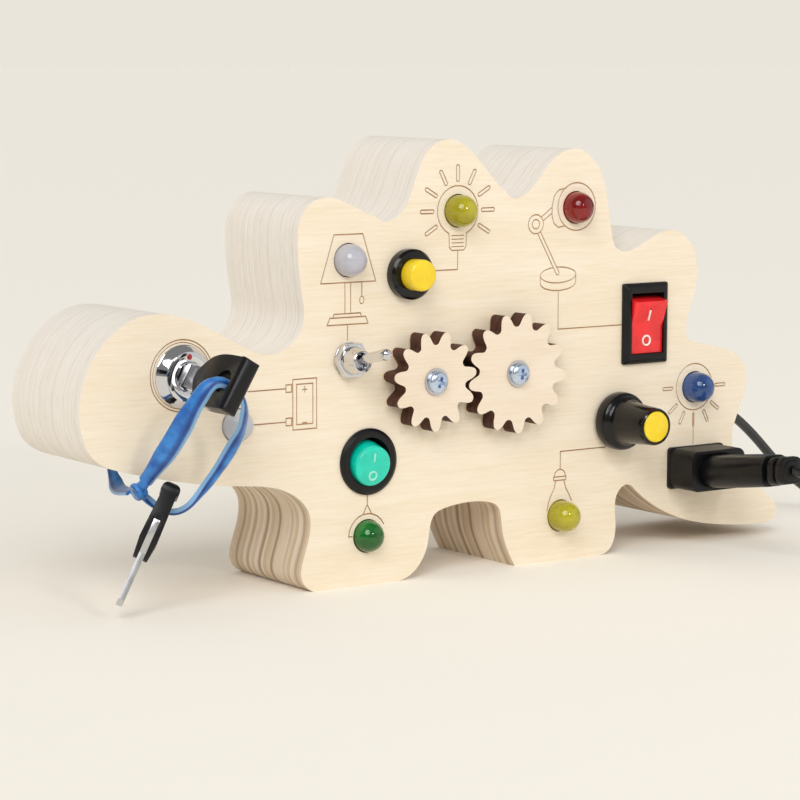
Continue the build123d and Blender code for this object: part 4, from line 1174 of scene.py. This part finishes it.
# ------------------------------------------------------------------ key switch
@dataclass
class KeySwitch:
    """The key switch: turned bezel, red dot, core, nut and contacts."""

    at: Place = LOCK
    face: float = 3.1
    base_radius: float = 7.2
    face_radius: float = 5.85
    barrel_radius: float = 6.0
    barrel_end: float = 16.0
    core_radius: float = 3.3
    core_end: float = 10.0
    dot_off: Place = (0.25, 4.6)

    def bezel(self) -> Piece:
        """Turn the bezel: a flat ring, a polished cone and a thin foot on the panel.

        Returns:
            The bezel.
        """
        front, core = -self.face, self.core_radius
        outline = [(self.core_end, core), (front + 0.35, core), (front + 0.1, core + 0.25), (front, core + 0.45),
                   (front, self.face_radius - 0.2), (front + 0.12, self.face_radius), (-0.75, self.base_radius - 0.25),
                   (-0.55, self.base_radius), (0.0, self.base_radius), (0.0, self.barrel_radius),
                   (self.barrel_end, self.barrel_radius)]
        return turned("lock_bezel", self.at, outline, 96)

    def dot(self) -> Piece:
        """Turn the drop of enamel that marks the lock's upright.

        Returns:
            The dot.
        """
        at = (self.at[0] + self.dot_off[0], self.at[1] + self.dot_off[1])
        front = -self.face
        outline = [(front - 0.12, 0.3), (front - 0.08, 0.55), (front, 0.68), (front + 0.3, 0.68)]
        return turned("lock_dot", at, outline, 24)

    def build(self) -> None:
        """Make the lock."""
        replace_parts(fit(self.bezel(), "board", CHROME), "lock_housing")
        fit(self.dot(), "board", RED_INK)
        fit(softened("lock_core", "lock_cylinder", 0.12), "lock_cylinder", CHROME)
        finish_nodes(NICKEL, "lock_nut")
        finish_nodes(MATTE, "lock_contact_block")


@dataclass
class Keys:
    """The key in the lock and the spare one on the ribbon."""

    grip_round: float = 0.34
    end_round: float = 1.5
    widest_at: float = 0.24
    near_share: float = 0.82
    widest_share: float = 1.04
    far_share: float = 0.8
    skin: float = 1.6
    end_zone: float = 0.3
    sharp_from: float = 1.0
    blade_round: float = 0.12

    def share_at(self, along: float) -> float:
        """How much of the grip's thickness is left at one place.

        Args:
            along: The place, as a share of the grip's length from the blade.

        Returns:
            The share of the thickness.
        """
        if along < self.widest_at:
            return self.near_share + (self.widest_share - self.near_share) * along / self.widest_at
        beyond = (along - self.widest_at) / (1 - self.widest_at)
        return self.widest_share - (self.widest_share - self.far_share) * beyond

    def grip(self, name: str, node: str, out: Vector, flat: Vector) -> Piece:
        """Round a moulded grip and taper it: widest near the blade, narrower at both ends.

        Args:
            name: The new piece's name.
            node: The CAD grip it is made from.
            out: The direction from the blade to the grip's far end.
            flat: The direction through the grip's thickness.

        Returns:
            The new piece.
        """
        piece = copied(name, node)
        heights = [vertex.co.dot(out) for vertex in piece.data.vertices]
        offsets = [vertex.co.dot(flat) for vertex in piece.data.vertices]
        low, reach = min(heights), max(heights)
        middle_plane = (min(offsets) + max(offsets)) / 2
        with editing(piece):
            bpy.ops.mesh.bisect(plane_co=out * (low + (reach - low) * self.widest_at), plane_no=out)
            net = bmesh.from_edit_mesh(piece.data)
            for vertex in net.verts:
                offset = vertex.co.dot(flat) - middle_plane
                if abs(offset) > mm(self.skin):
                    along = (vertex.co.dot(out) - low) / (reach - low)
                    vertex.co += flat * offset * (self.share_at(along) - 1)
            bmesh.update_edit_mesh(piece.data)
        with editing(piece, "EDGE"):
            bpy.ops.mesh.select_all(action="DESELECT")
            net = bmesh.from_edit_mesh(piece.data)
            for edge in net.edges:
                middle = (edge.verts[0].co + edge.verts[1].co) / 2
                sharp = len(edge.link_faces) == 2 and edge.calc_face_angle() > self.sharp_from
                edge.select_set(sharp and middle.dot(out) > reach - mm(self.end_zone))
            bmesh.update_edit_mesh(piece.data)
            bpy.ops.mesh.bevel(offset=mm(self.end_round), segments=5, clamp_overlap=True)
        return smooth(bevelled(piece, self.grip_round, 3))

    def build(self) -> None:
        """Round the moulded grips and break the edges of the milled blades."""
        for body in ("key", "spare_key"):
            grip, blade = f"{body}_bow", f"{body}_blade"
            if body == "key":
                out, flat = Vector((0, -1, 0)), Vector((math.cos(KEY_TILT), 0, -math.sin(KEY_TILT)))
            else:
                low, high = (Vector(corner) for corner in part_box(grip))
                start, end = (Vector(corner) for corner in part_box(blade))
                out, flat = ((low + high) - (start + end)).normalized(), Vector(SPARE_AXIS)
            fit(self.grip(f"{body}_grip", grip, out, flat), body, MATTE)
            fit(softened(f"{body}_metal", blade, self.blade_round), body, BLADE)


# ------------------------------------------------------------------ ribbon and cord
@dataclass
class Strip:
    """A ribbon along a route: it keeps its width and turns its face as it goes."""

    name: str
    route: Sequence[Point]
    faces: Sequence[Point]
    widths: Sequence[float]
    thickness: float = 0.75
    curl: float = 0.0
    uv_step: float = 0.5

    def line(self) -> list[Vector]:
        """The ribbon's centreline."""
        return smooth_line(self.route)

    def section(self, width: float) -> list[tuple[float, float]]:
        """Draw a flat section with round edges.

        Args:
            width: The ribbon's width in millimetres.

        Returns:
            The section's points, across the cloth and through it.
        """
        half, thick = mm(width / 2 - self.thickness / 2), mm(self.thickness / 2)
        right = [(half + thick * math.cos(a), thick * math.sin(a)) for a in (-math.pi / 2, 0, math.pi / 2)]
        top = [(half * share, thick) for share in (0.6, 0.3, 0.0, -0.3, -0.6)]
        flat = right + top
        flat += [(-x, -z) for x, z in flat]
        return [(x, z + mm(self.curl) * (1 - (x / half) ** 2)) for x, z in flat]

    def build(self) -> Piece:
        """Sweep the section along the line and lay a UV map along it, in metres.

        Returns:
            The ribbon's mesh object.
        """
        line = self.line()
        last = len(self.faces) - 1
        reach = [0.0]
        for here, there in zip(line, line[1:]):
            reach.append(reach[-1] + (there - here).length)
        rings = []
        for index, point in enumerate(line):
            share = index / (len(line) - 1) * last
            low = min(int(share), last - 1)
            part = share - low
            ease = part * part * (3 - 2 * part)
            ahead = heading(line, index)
            face = Vector(self.faces[low]).lerp(Vector(self.faces[low + 1]), ease)
            face = (face - face.dot(ahead) * ahead).normalized()
            across = ahead.cross(face)
            width = self.widths[low] * (1 - ease) + self.widths[low + 1] * ease
            rings.append([point + across * x + face * z for x, z in self.section(width)])
        piece = skinned(self.name, rings)
        layer = piece.data.uv_layers.new(name="along")
        for corner, loop in zip(layer.data, piece.data.loops):
            ring, side = divmod(loop.vertex_index, len(rings[0]))
            corner.uv = (reach[ring], mm(self.uv_step) * side)
        return smooth(piece, 50)


@dataclass
class Lanyard:
    """The woven ribbon that ties both keys to the board."""

    lean: float = KEY_TILT
    knot_at: Point = (-91.8, -3.1, 28.9)
    start: Point = (-91.3, -5.3, 31.3)
    spare_eye: Point = (-86.2, -4.0, 24.4)
    spare_axis: Point = SPARE_AXIS
    anchor: Place = (-88.0, BOARD_DEPTH / 2)
    wraps: tuple[tuple[float, Point, float], ...] = (
        (-0.55, (0.35, 1.15, 0.3), 1.55), (0.75, (0.2, 1.35, 0.25), 1.5), (0.1, (1.2, 0.35, 0.6), 1.35))
    wrap_step: Point = (1.1, 0.4, 0.0)
    wrap_round: float = 0.6
    wrap_wide: float = 1.35
    core_round: float = 1.45
    throat_round: float = 1.25
    throat_long: float = 1.75
    throat_at: float = 0.66
    knot_weave: Place = (12.0, 6.0)

    def on_eye(self, s: float) -> Point:
        """A point s millimetres along the axis of the key's eye."""
        return (LOCK[0] + math.cos(self.lean) * s, -EYE_Y, LOCK[1] - math.sin(self.lean) * s)

    def on_spare(self, s: float) -> Point:
        """A point s millimetres along the axis of the spare key's eye."""
        x, y, z = (c + s * a for c, a in zip(self.spare_eye, self.spare_axis))
        return (x, y, z)

    def loop(self) -> Strip:
        """Lead the ribbon up from the knot, through the key's eye, down through the spare key's and back.

        Returns:
            The strip, still to be built.
        """
        route = [self.start, (-89.9, -9.6, 36.2), (-88.3, -14.0, 42.0), (-86.3, -18.3, 49.6),
                 self.on_eye(-4.2), self.on_eye(4.2), (-72.2, -17.5, 45.0), (-73.2, -12.5, 37.5),
                 (-76.6, -8.2, 29.6), self.on_spare(4.2), self.on_spare(-3.6), self.knot_at]
        faces = [(-0.4, -0.9, 0.0), (-0.4, -0.9, 0.0), (-0.5, -0.85, 0.1), (-0.6, -0.7, 0.3), (-0.2, -0.7, 0.7),
                 (0.1, -0.6, 0.8), (0.3, -0.9, 0.2), (0.0, -1.0, 0.1), (-0.1, -0.9, -0.2), (0.1, -0.6, -0.75),
                 (-0.2, -0.4, -0.9), (-0.5, -0.8, -0.3)]
        widths = [3.3, 4.9, 4.9, 4.0, 3.0, 2.9, 3.6, 3.5, 2.8, 2.3, 2.2, 2.0]
        return Strip("ribbon_loop", route, faces, widths, curl=0.4)

    def tether(self) -> Strip:
        """Lead the ribbon out of the hole under the head, forward and up to the knot.

        Returns:
            The strip, still to be built.
        """
        x, y = self.anchor
        route = [(-86.6, y + 1.25, 44.9), (x, y + 0.05, 38.2), (x, y, 31.0), (-88.9, 12.3, 27.6), (-90.9, 6.2, 27.6),
                 (-91.75, 0.7, 28.4)]
        faces = [(-1, -0.2, 0), (-1, -0.2, 0), (-0.9, -0.3, 0.1), (-0.6, 0, 0.8), (-0.5, 0, 0.85), (-0.5, -0.2, 0.85)]
        return Strip("ribbon_tether", route, faces, [3.0, 3.0, 3.1, 3.7, 3.6, 2.8])

    def knot(self) -> Piece:
        """Draw turns of ribbon tight round the strands, one of them across.

        Returns:
            The knot.
        """
        centre = spot(*self.knot_at)
        wraps = []
        for slide, turn, size in self.wraps:
            place = centre + Vector([mm(step) for step in self.wrap_step]) * slide
            wrap = started(bpy.ops.mesh.primitive_torus_add, major_segments=40, minor_segments=16,
                           major_radius=mm(size), minor_radius=mm(self.wrap_round), location=place, rotation=turn)
            with editing(wrap):
                bpy.ops.transform.resize(value=(1, 1, self.wrap_wide), orient_type="LOCAL")
            wraps.append(settle(wrap))
        core = settle(started(bpy.ops.mesh.primitive_ico_sphere_add, subdivisions=3, radius=mm(self.core_round),
                              location=centre))
        throat = started(bpy.ops.mesh.primitive_uv_sphere_add, segments=24, ring_count=16,
                         radius=mm(self.throat_round), location=(0, 0, 0))
        with editing(throat):
            bpy.ops.transform.resize(value=(1, 1, self.throat_long))
        way = spot(*self.start) - centre
        lean = way.to_track_quat("Z", "Y").to_matrix().to_4x4()
        settle(throat, Matrix.Translation(centre + way * self.throat_at) @ lean)
        piece = joined("ribbon_knot", [core, throat, *wraps])
        layer = piece.data.uv_layers["UVMap"]
        layer.name = "along"
        for item in layer.data:
            item.uv = (item.uv[0] * mm(self.knot_weave[0]), item.uv[1] * mm(self.knot_weave[1]))
        return smooth(piece, 60)

    def build(self) -> None:
        """Make the ribbon: the knot and its two strands."""
        knot = fit(self.knot(), "lanyard", RIBBON)
        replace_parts(knot, "lanyard_knot")
        loop = self.loop()
        line = loop.line()
        piece = strand(loop.build(), "lanyard_loop", RIBBON, line)
        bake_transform(piece)
        tether = self.tether()
        line = tether.line()
        piece = strand(tether.build(), "lanyard_tether", RIBBON, line)
        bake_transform(piece)


@dataclass
class PowerCord:
    """The twin cord from the hole under the rump round to the plug, and the plug in its socket."""

    diameter: float = 2.6
    groove: float = 0.22
    groove_narrow: float = 3.2
    sides: int = 20

    def route(self) -> list[Point]:
        """Lead the cord out through the grommet, down to the table, round in front and up to the plug.

        Returns:
            The route's points, in millimetres from the front face.
        """
        middle = BOARD_DEPTH / 2
        return [(84.0, middle, 34.0), (98.0, middle + 1.15, 33.6), (112.0, 21.0, 26.3), (128.0, 22.5, 11.7),
                (143.0, 22.0, 2.2), (160.0, 8.0, 1.7), (170.0, -14.0, 1.7), (168.0, -40.0, 1.7), (156.0, -62.0, 1.7),
                (136.0, -77.0, 1.7), (112.0, -81.0, 4.0), (92.0, -74.0, 12.0), (79.5, -57.5, 20.8),
                (75.7, -38.3, 23.98)]

    def sheath(self, line: Sequence[Vector]) -> Piece:
        """Sweep a round section with a groove down each side, where the two wires lie together.

        Args:
            line: The cord's centreline.

        Returns:
            The sheath's mesh object.
        """
        radius = mm(self.diameter / 2)
        up = Vector((0, 0.3, 1))
        rings = []
        for index, point in enumerate(line):
            ahead = heading(line, index)
            up = (up - up.dot(ahead) * ahead).normalized()
            across = ahead.cross(up)
            ring = []
            for side in range(self.sides):
                turn = math.tau * side / self.sides
                dip = 1 - self.groove * max(0.0, 1 - abs(math.cos(turn)) * self.groove_narrow)
                ring.append(point + (across * math.sin(turn) + up * math.cos(turn)) * radius * dip)
            rings.append(ring)
        return smooth(skinned("cord_sheath", rings), 60)

    def build(self) -> None:
        fit(softened("socket_block", "socket", 0.4, 3), "board", MATTE)
        finish_nodes(BRASS, "socket_pins")
        plug = fit(softened("plug_moulding", "plug_body", 0.5, 3), "plug", MATTE)
        relief = fit(softened("plug_relief", "plug_strain_relief", 0.3, 2), "plug", MATTE)
        fit(softened("cord_bush", "cord_grommet", 0.3, 3), "board", MATTE)
        line = smooth_line(self.route())
        sheath = strand(self.sheath(line), "power_cord", SHEATH, line)
        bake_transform(sheath)


# ------------------------------------------------------------------ switches
@dataclass
class Toggle:
    """The toggle switch: a threaded bushing, its nut and washer, and the lever tipped up."""

    at: Place = (-32.6, 55.0)
    pivot: float = 3.1
    tip: float = 17.2
    tilt_deg: float = 12.0
    ball_radius: float = 2.15
    thread_radius: float = 3.24
    root_radius: float = 3.1
    thread_from: float = -1.5
    thread_to: float = 3.3
    pitch: float = 0.75

    def bushing(self) -> Piece:
        """Turn the bushing: a plain polished collar in front, and a thread behind the nut.

        Returns:
            The bushing.
        """
        outline = [(0.5, 2.1), (-5.9, 2.1), (-6.15, 2.25), (-6.2, 2.45), (-6.05, 2.62), (-2.1, 3.5), (-1.75, 3.55),
                   (-1.6, 3.45), (-1.55, self.thread_radius)]
        depth = self.thread_from
        while depth < self.thread_to:
            outline += [(depth, self.thread_radius), (depth + 0.3, self.root_radius), (depth + 0.45, self.root_radius)]
            depth += self.pitch
        outline += [(3.6, self.thread_radius), (3.65, 1.5)]
        return turned("toggle_thread", self.at, outline, 56)

    def lever(self) -> Piece:
        """Turn the bat-shaped lever and its ball, then tip it up.

        Returns:
            The lever.
        """
        front, ball = -self.tip, self.ball_radius
        outline = [(front, 0.25), (front + 0.12, 0.75), (front + 0.45, 1.12), (front + 0.95, 1.33), (front + 1.7, 1.44),
                   (front + 2.5, 1.4), (front + 3.2, 1.3), (-10.0, 1.3), (-6.4, 1.2), (-5.4, 1.05), (-5.0, 1.15)]
        outline += [(-self.pivot - ball * math.cos(math.radians(angle)), ball * math.sin(math.radians(angle)))
                    for angle in (40, 55, 70, 90, 110, 130, 150)]
        outline += [(1.35, 0.9)]
        return tipped(turned("toggle_bat", self.at, outline, 40), self.at, -self.pivot, -self.tilt_deg)

    def build(self) -> None:
        """Make the switch."""
        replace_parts(fit(self.bushing(), "board", CHROME), "toggle_bushing")
        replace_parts(fit(self.lever(), "toggle", CHROME), "toggle_lever")
        fit(softened("toggle_hexagon", "toggle_nut", 0.22, 2), "board", CHROME)
        finish_nodes(NICKEL, "toggle_washer")
        finish_nodes(MATTE, "toggle_body")


@dataclass
class PushButton:
    """The push button: black housing and a yellow cap."""

    at: Place = (-15.5, 74.7)
    face: float = 6.9
    cap_radius: float = 3.8
    collar_radius: float = 4.4

    def cap(self) -> Piece:
        """Turn the cap: a face that is very slightly domed, and a collar that keeps it in.

        Returns:
            The cap.
        """
        front, radius, collar = -self.face, self.cap_radius, self.collar_radius
        outline = [(front, 0.4), (front + 0.02, 1.8), (front + 0.08, radius - 0.75), (front + 0.2, radius - 0.3),
                   (front + 0.42, radius - 0.08), (front + 0.75, radius), (-2.0, radius), (1.05, radius),
                   (1.05, collar), (2.6, collar)]
        return turned("button_top", self.at, outline, 64)

    def build(self) -> None:
        """Make the button."""
        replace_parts(fit(self.cap(), "button", YELLOW), "button_cap")
        fit(softened("button_collar", "button_housing", 0.3, 3), "board", GLOSSY)
        finish_nodes(MATTE, "button_nut")


@dataclass
class Rocker:
    """A rocker switch: black bezel, coloured rocker with its I and O, tipped with the I out."""

    name: str
    cad: str
    at: Place
    finish: Finish
    ink: Finish
    mark_up: float
    mark_down: float
    bar: float
    ring: float
    mark_depth: float
    slope: float = 0.0
    bar_wide: float = 0.5
    bar_proud: float = 0.4
    ring_round: float = 0.27
    pivot: float = 3.0
    tilt_deg: float = 10.0

    def marks(self) -> Piece:
        """Press out the I and the O, and lay them on the rocker's two faces.

        Returns:
            Both marks as one piece.
        """
        x, z = self.at
        high, low = (spot(x, -self.mark_depth, z + up) for up in (self.mark_up, self.mark_down))
        upright = started(bpy.ops.mesh.primitive_cube_add, size=mm(1), location=high)
        with editing(upright):
            bpy.ops.transform.resize(value=(self.bar_wide, self.bar_proud, self.bar))
            bpy.ops.transform.rotate(value=-self.slope, orient_axis="X", center_override=high)
        bevelled(settle(upright), 0.12, 2)
        loop = settle(started(bpy.ops.mesh.primitive_torus_add, major_segments=40, minor_segments=10,
                              major_radius=mm(self.ring), minor_radius=mm(self.ring_round), location=low,
                              rotation=(math.pi / 2 - self.slope, 0, 0)))
        piece = joined(f"{self.name}_marks", [upright, loop])
        return smooth(tipped(piece, self.at, self.pivot, self.tilt_deg))

    def paddle(self) -> Piece:
        """The rocker itself, with the edges its mould gives it."""
        return softened(f"{self.name}_paddle", self.cad, 0.35, 3)

    def build(self) -> None:
        """Make the switch."""
        fit(softened(f"{self.name}_frame", f"{self.cad}_housing", 0.3, 3), "board", MATTE)
        fit(self.paddle(), self.name, self.finish)
        fit(self.marks(), self.name, self.ink)


@dataclass
class RoundRocker(Rocker):
    """A rocker switch whose rocker is a dished cone."""

    def paddle(self) -> Piece:
        """Turn the rocker, dished in front and narrower there, and tip it as it stands.

        Returns:
            The rocker.
        """
        face = -self.mark_depth
        outline = [(face + 0.05, 0.4), (face + 0.03, 2.6), (face - 0.05, 4.2), (face - 0.02, 4.55), (face + 0.14, 4.8),
                   (face + 0.4, 4.92), (-0.8, 5.1), (1.5, 5.35), (3.0, 5.45), (8.4, 3.6)]
        piece = turned(f"{self.name}_paddle", self.at, outline, 72)
        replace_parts(piece, self.cad)
        return tipped(piece, self.at, self.pivot, self.tilt_deg)


@dataclass
class Dial:
    """The knob on its shaft, with a yellow cap."""

    at: Place = (49.3, 34.5)
    tip: float = 16.4

    def knob(self) -> Piece:
        """Turn the knob: a slightly tapered grip that runs out into a round skirt.

        Returns:
            The knob.
        """
        front = -self.tip
        outline = [(front + 1.3, 3.97), (front + 0.35, 3.97), (front + 0.2, 4.1), (front + 0.16, 4.3),
                   (front + 0.3, 4.55), (front + 0.75, 4.72), (front + 2.0, 4.8), (-9.0, 5.15), (-6.4, 5.42),
                   (-5.3, 5.62), (-4.75, 5.95), (-4.4, 6.45), (-4.1, 6.95), (-3.6, 7.25), (-3.0, 7.38), (-2.3, 7.4),
                   (-1.2, 7.4), (-0.9, 7.3), (-0.8, 7.1), (-0.8, 6.1), (-2.6, 6.1), (-2.6, 3.8), (-4.8, 3.8)]
        return turned("dial_grip", self.at, outline, 96)

    def cap(self) -> Piece:
        """Turn the cap that is pressed into the knob's end.

        Returns:
            The cap.
        """
        front = -self.tip
        outline = [(front, 0.4), (front, 3.3), (front + 0.06, 3.6), (front + 0.2, 3.82), (front + 0.42, 3.93),
                   (front + 1.3, 3.93)]
        return turned("dial_cap", self.at, outline, 64)

    def build(self) -> None:
        """Make the dial."""
        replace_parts(fit(self.knob(), "dial", GLOSSY), "knob")
        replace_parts(fit(self.cap(), "dial", YELLOW), "knob_cap")
        finish_nodes(NICKEL, "pot_shaft", "pot_body", "pot_nut")


@dataclass
class GearTrain:
    """Two laser-cut gears on brass bushes, each held by a pan-head screw."""

    hubs: tuple[tuple[Place, float], ...] = (((-10.8, 48.8), 0.35), ((13.9, 49.2), 0.1))
    seat: float = -5.75
    head: float = 1.5
    thread_radius: float = 1.48
    root_radius: float = 1.28
    thread_to: float = 5.6
    pitch: float = 0.5
    recess: Point = (4.1, 2.3, 1.15)
    recess_taper: Point = (0.35, 1.0, 0.5)

    def screw(self, at: Place, turn: float) -> Piece:
        """Turn a pan-head screw and sink its cross recess.

        Args:
            at: The hub's X and Z, in millimetres.
            turn: How far round the recess stands, in radians.

        Returns:
            The screw.
        """
        front = self.seat - self.head
        outline = [(front, 0.3), (front + 0.03, 1.3), (front + 0.16, 1.95), (front + 0.42, 2.38), (front + 0.8, 2.6),
                   (front + 1.2, 2.68), (self.seat, 2.62), (self.seat, self.thread_radius)]
        depth = self.seat + 0.2
        while depth < self.thread_to:
            outline += [(depth, self.thread_radius), (depth + self.pitch / 2, self.root_radius)]
            depth += self.pitch
        outline += [(6.2, 1.0)]
        screw = turned("screw", at, outline, 48)
        tools = []
        for arm in (0.0, math.pi / 2):
            tool = started(bpy.ops.mesh.primitive_cube_add, size=mm(1), location=spot(at[0], front, at[1]),
                           rotation=(0, turn + arm, 0))
            with editing(tool):
                bpy.ops.transform.resize(value=self.recess, orient_type="LOCAL")
                pick_faces(tool, lambda face: face.normal.y > 0.9)
                bpy.ops.transform.resize(value=self.recess_taper, orient_type="LOCAL")
            tools.append(settle(tool))
        for tool in tools:
            modified(screw, "BOOLEAN", operation="DIFFERENCE", solver="EXACT", object=tool)
            bpy.data.objects.remove(tool)
        return smooth(screw)

    def build(self) -> None:
        """Finish the gears and turn their screws."""
        finish_nodes(GEAR_PLY, "large_gear", "small_gear")
        finish_nodes(BRASS, "gear_bushes")
        finish_nodes(NICKEL, "gear_spacers", "gear_washers", "gear_nuts")
        screws = [self.screw(at, turn) for at, turn in self.hubs]
        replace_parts(fit(joined("gear_pan_heads", screws), "board", ZINC), "gear_screws")


# ------------------------------------------------------------------ main
def main() -> None:
    """Build the board's sub-assemblies in order."""
    logging.basicConfig(level=logging.INFO, format="%(message)s")
    for leftover in [other for other in bpy.context.scene.objects if other.name in ("Cube", "Light", "Camera")]:
        bpy.data.objects.remove(leftover)
    Studio().build()
    Board().build()
    for lamp in (Lamp("table_lamp", (-32.7, 78.7), 1.2, Tint.CLEAR), Lamp("bulb", (-0.7, 89.4), 1.8, Tint.OLIVE),
                 Lamp("desk_lamp", (35.7, 89.1), 1.2, Tint.RED), Lamp("star", (75.4, 41.3), 2.2, Tint.BLUE),
                 Lamp("pendant", (31.6, 11.5), 2.2, Tint.OLIVE), Lamp("dome", (-27.2, 12.0), 0.5, Tint.GREEN),
                 Lamp("charge", (-63.7, 41.5), 0.0, Tint.MILKY)):
        lamp.build()
    KeySwitch().build()
    Keys().build()
    Lanyard().build()
    Toggle().build()
    PushButton().build()
    Rocker("red_switch", "red_rocker", (58.1, 58.9), RED, WHITE_INK, mark_up=3.0, mark_down=-3.6, bar=2.9,
           ring=1.2, mark_depth=1.85, slope=0.16).build()
    RoundRocker("round_switch", "round_rocker", (-27.1, 30.1), TEAL, TEAL_INK, mark_up=2.3, mark_down=-2.3, bar=2.2,
                ring=1.02, mark_depth=2.7).build()
    Dial().build()
    GearTrain().build()
    PowerCord().build()
    LOG.info("sizes written")


if __name__ == "__main__":
    main()
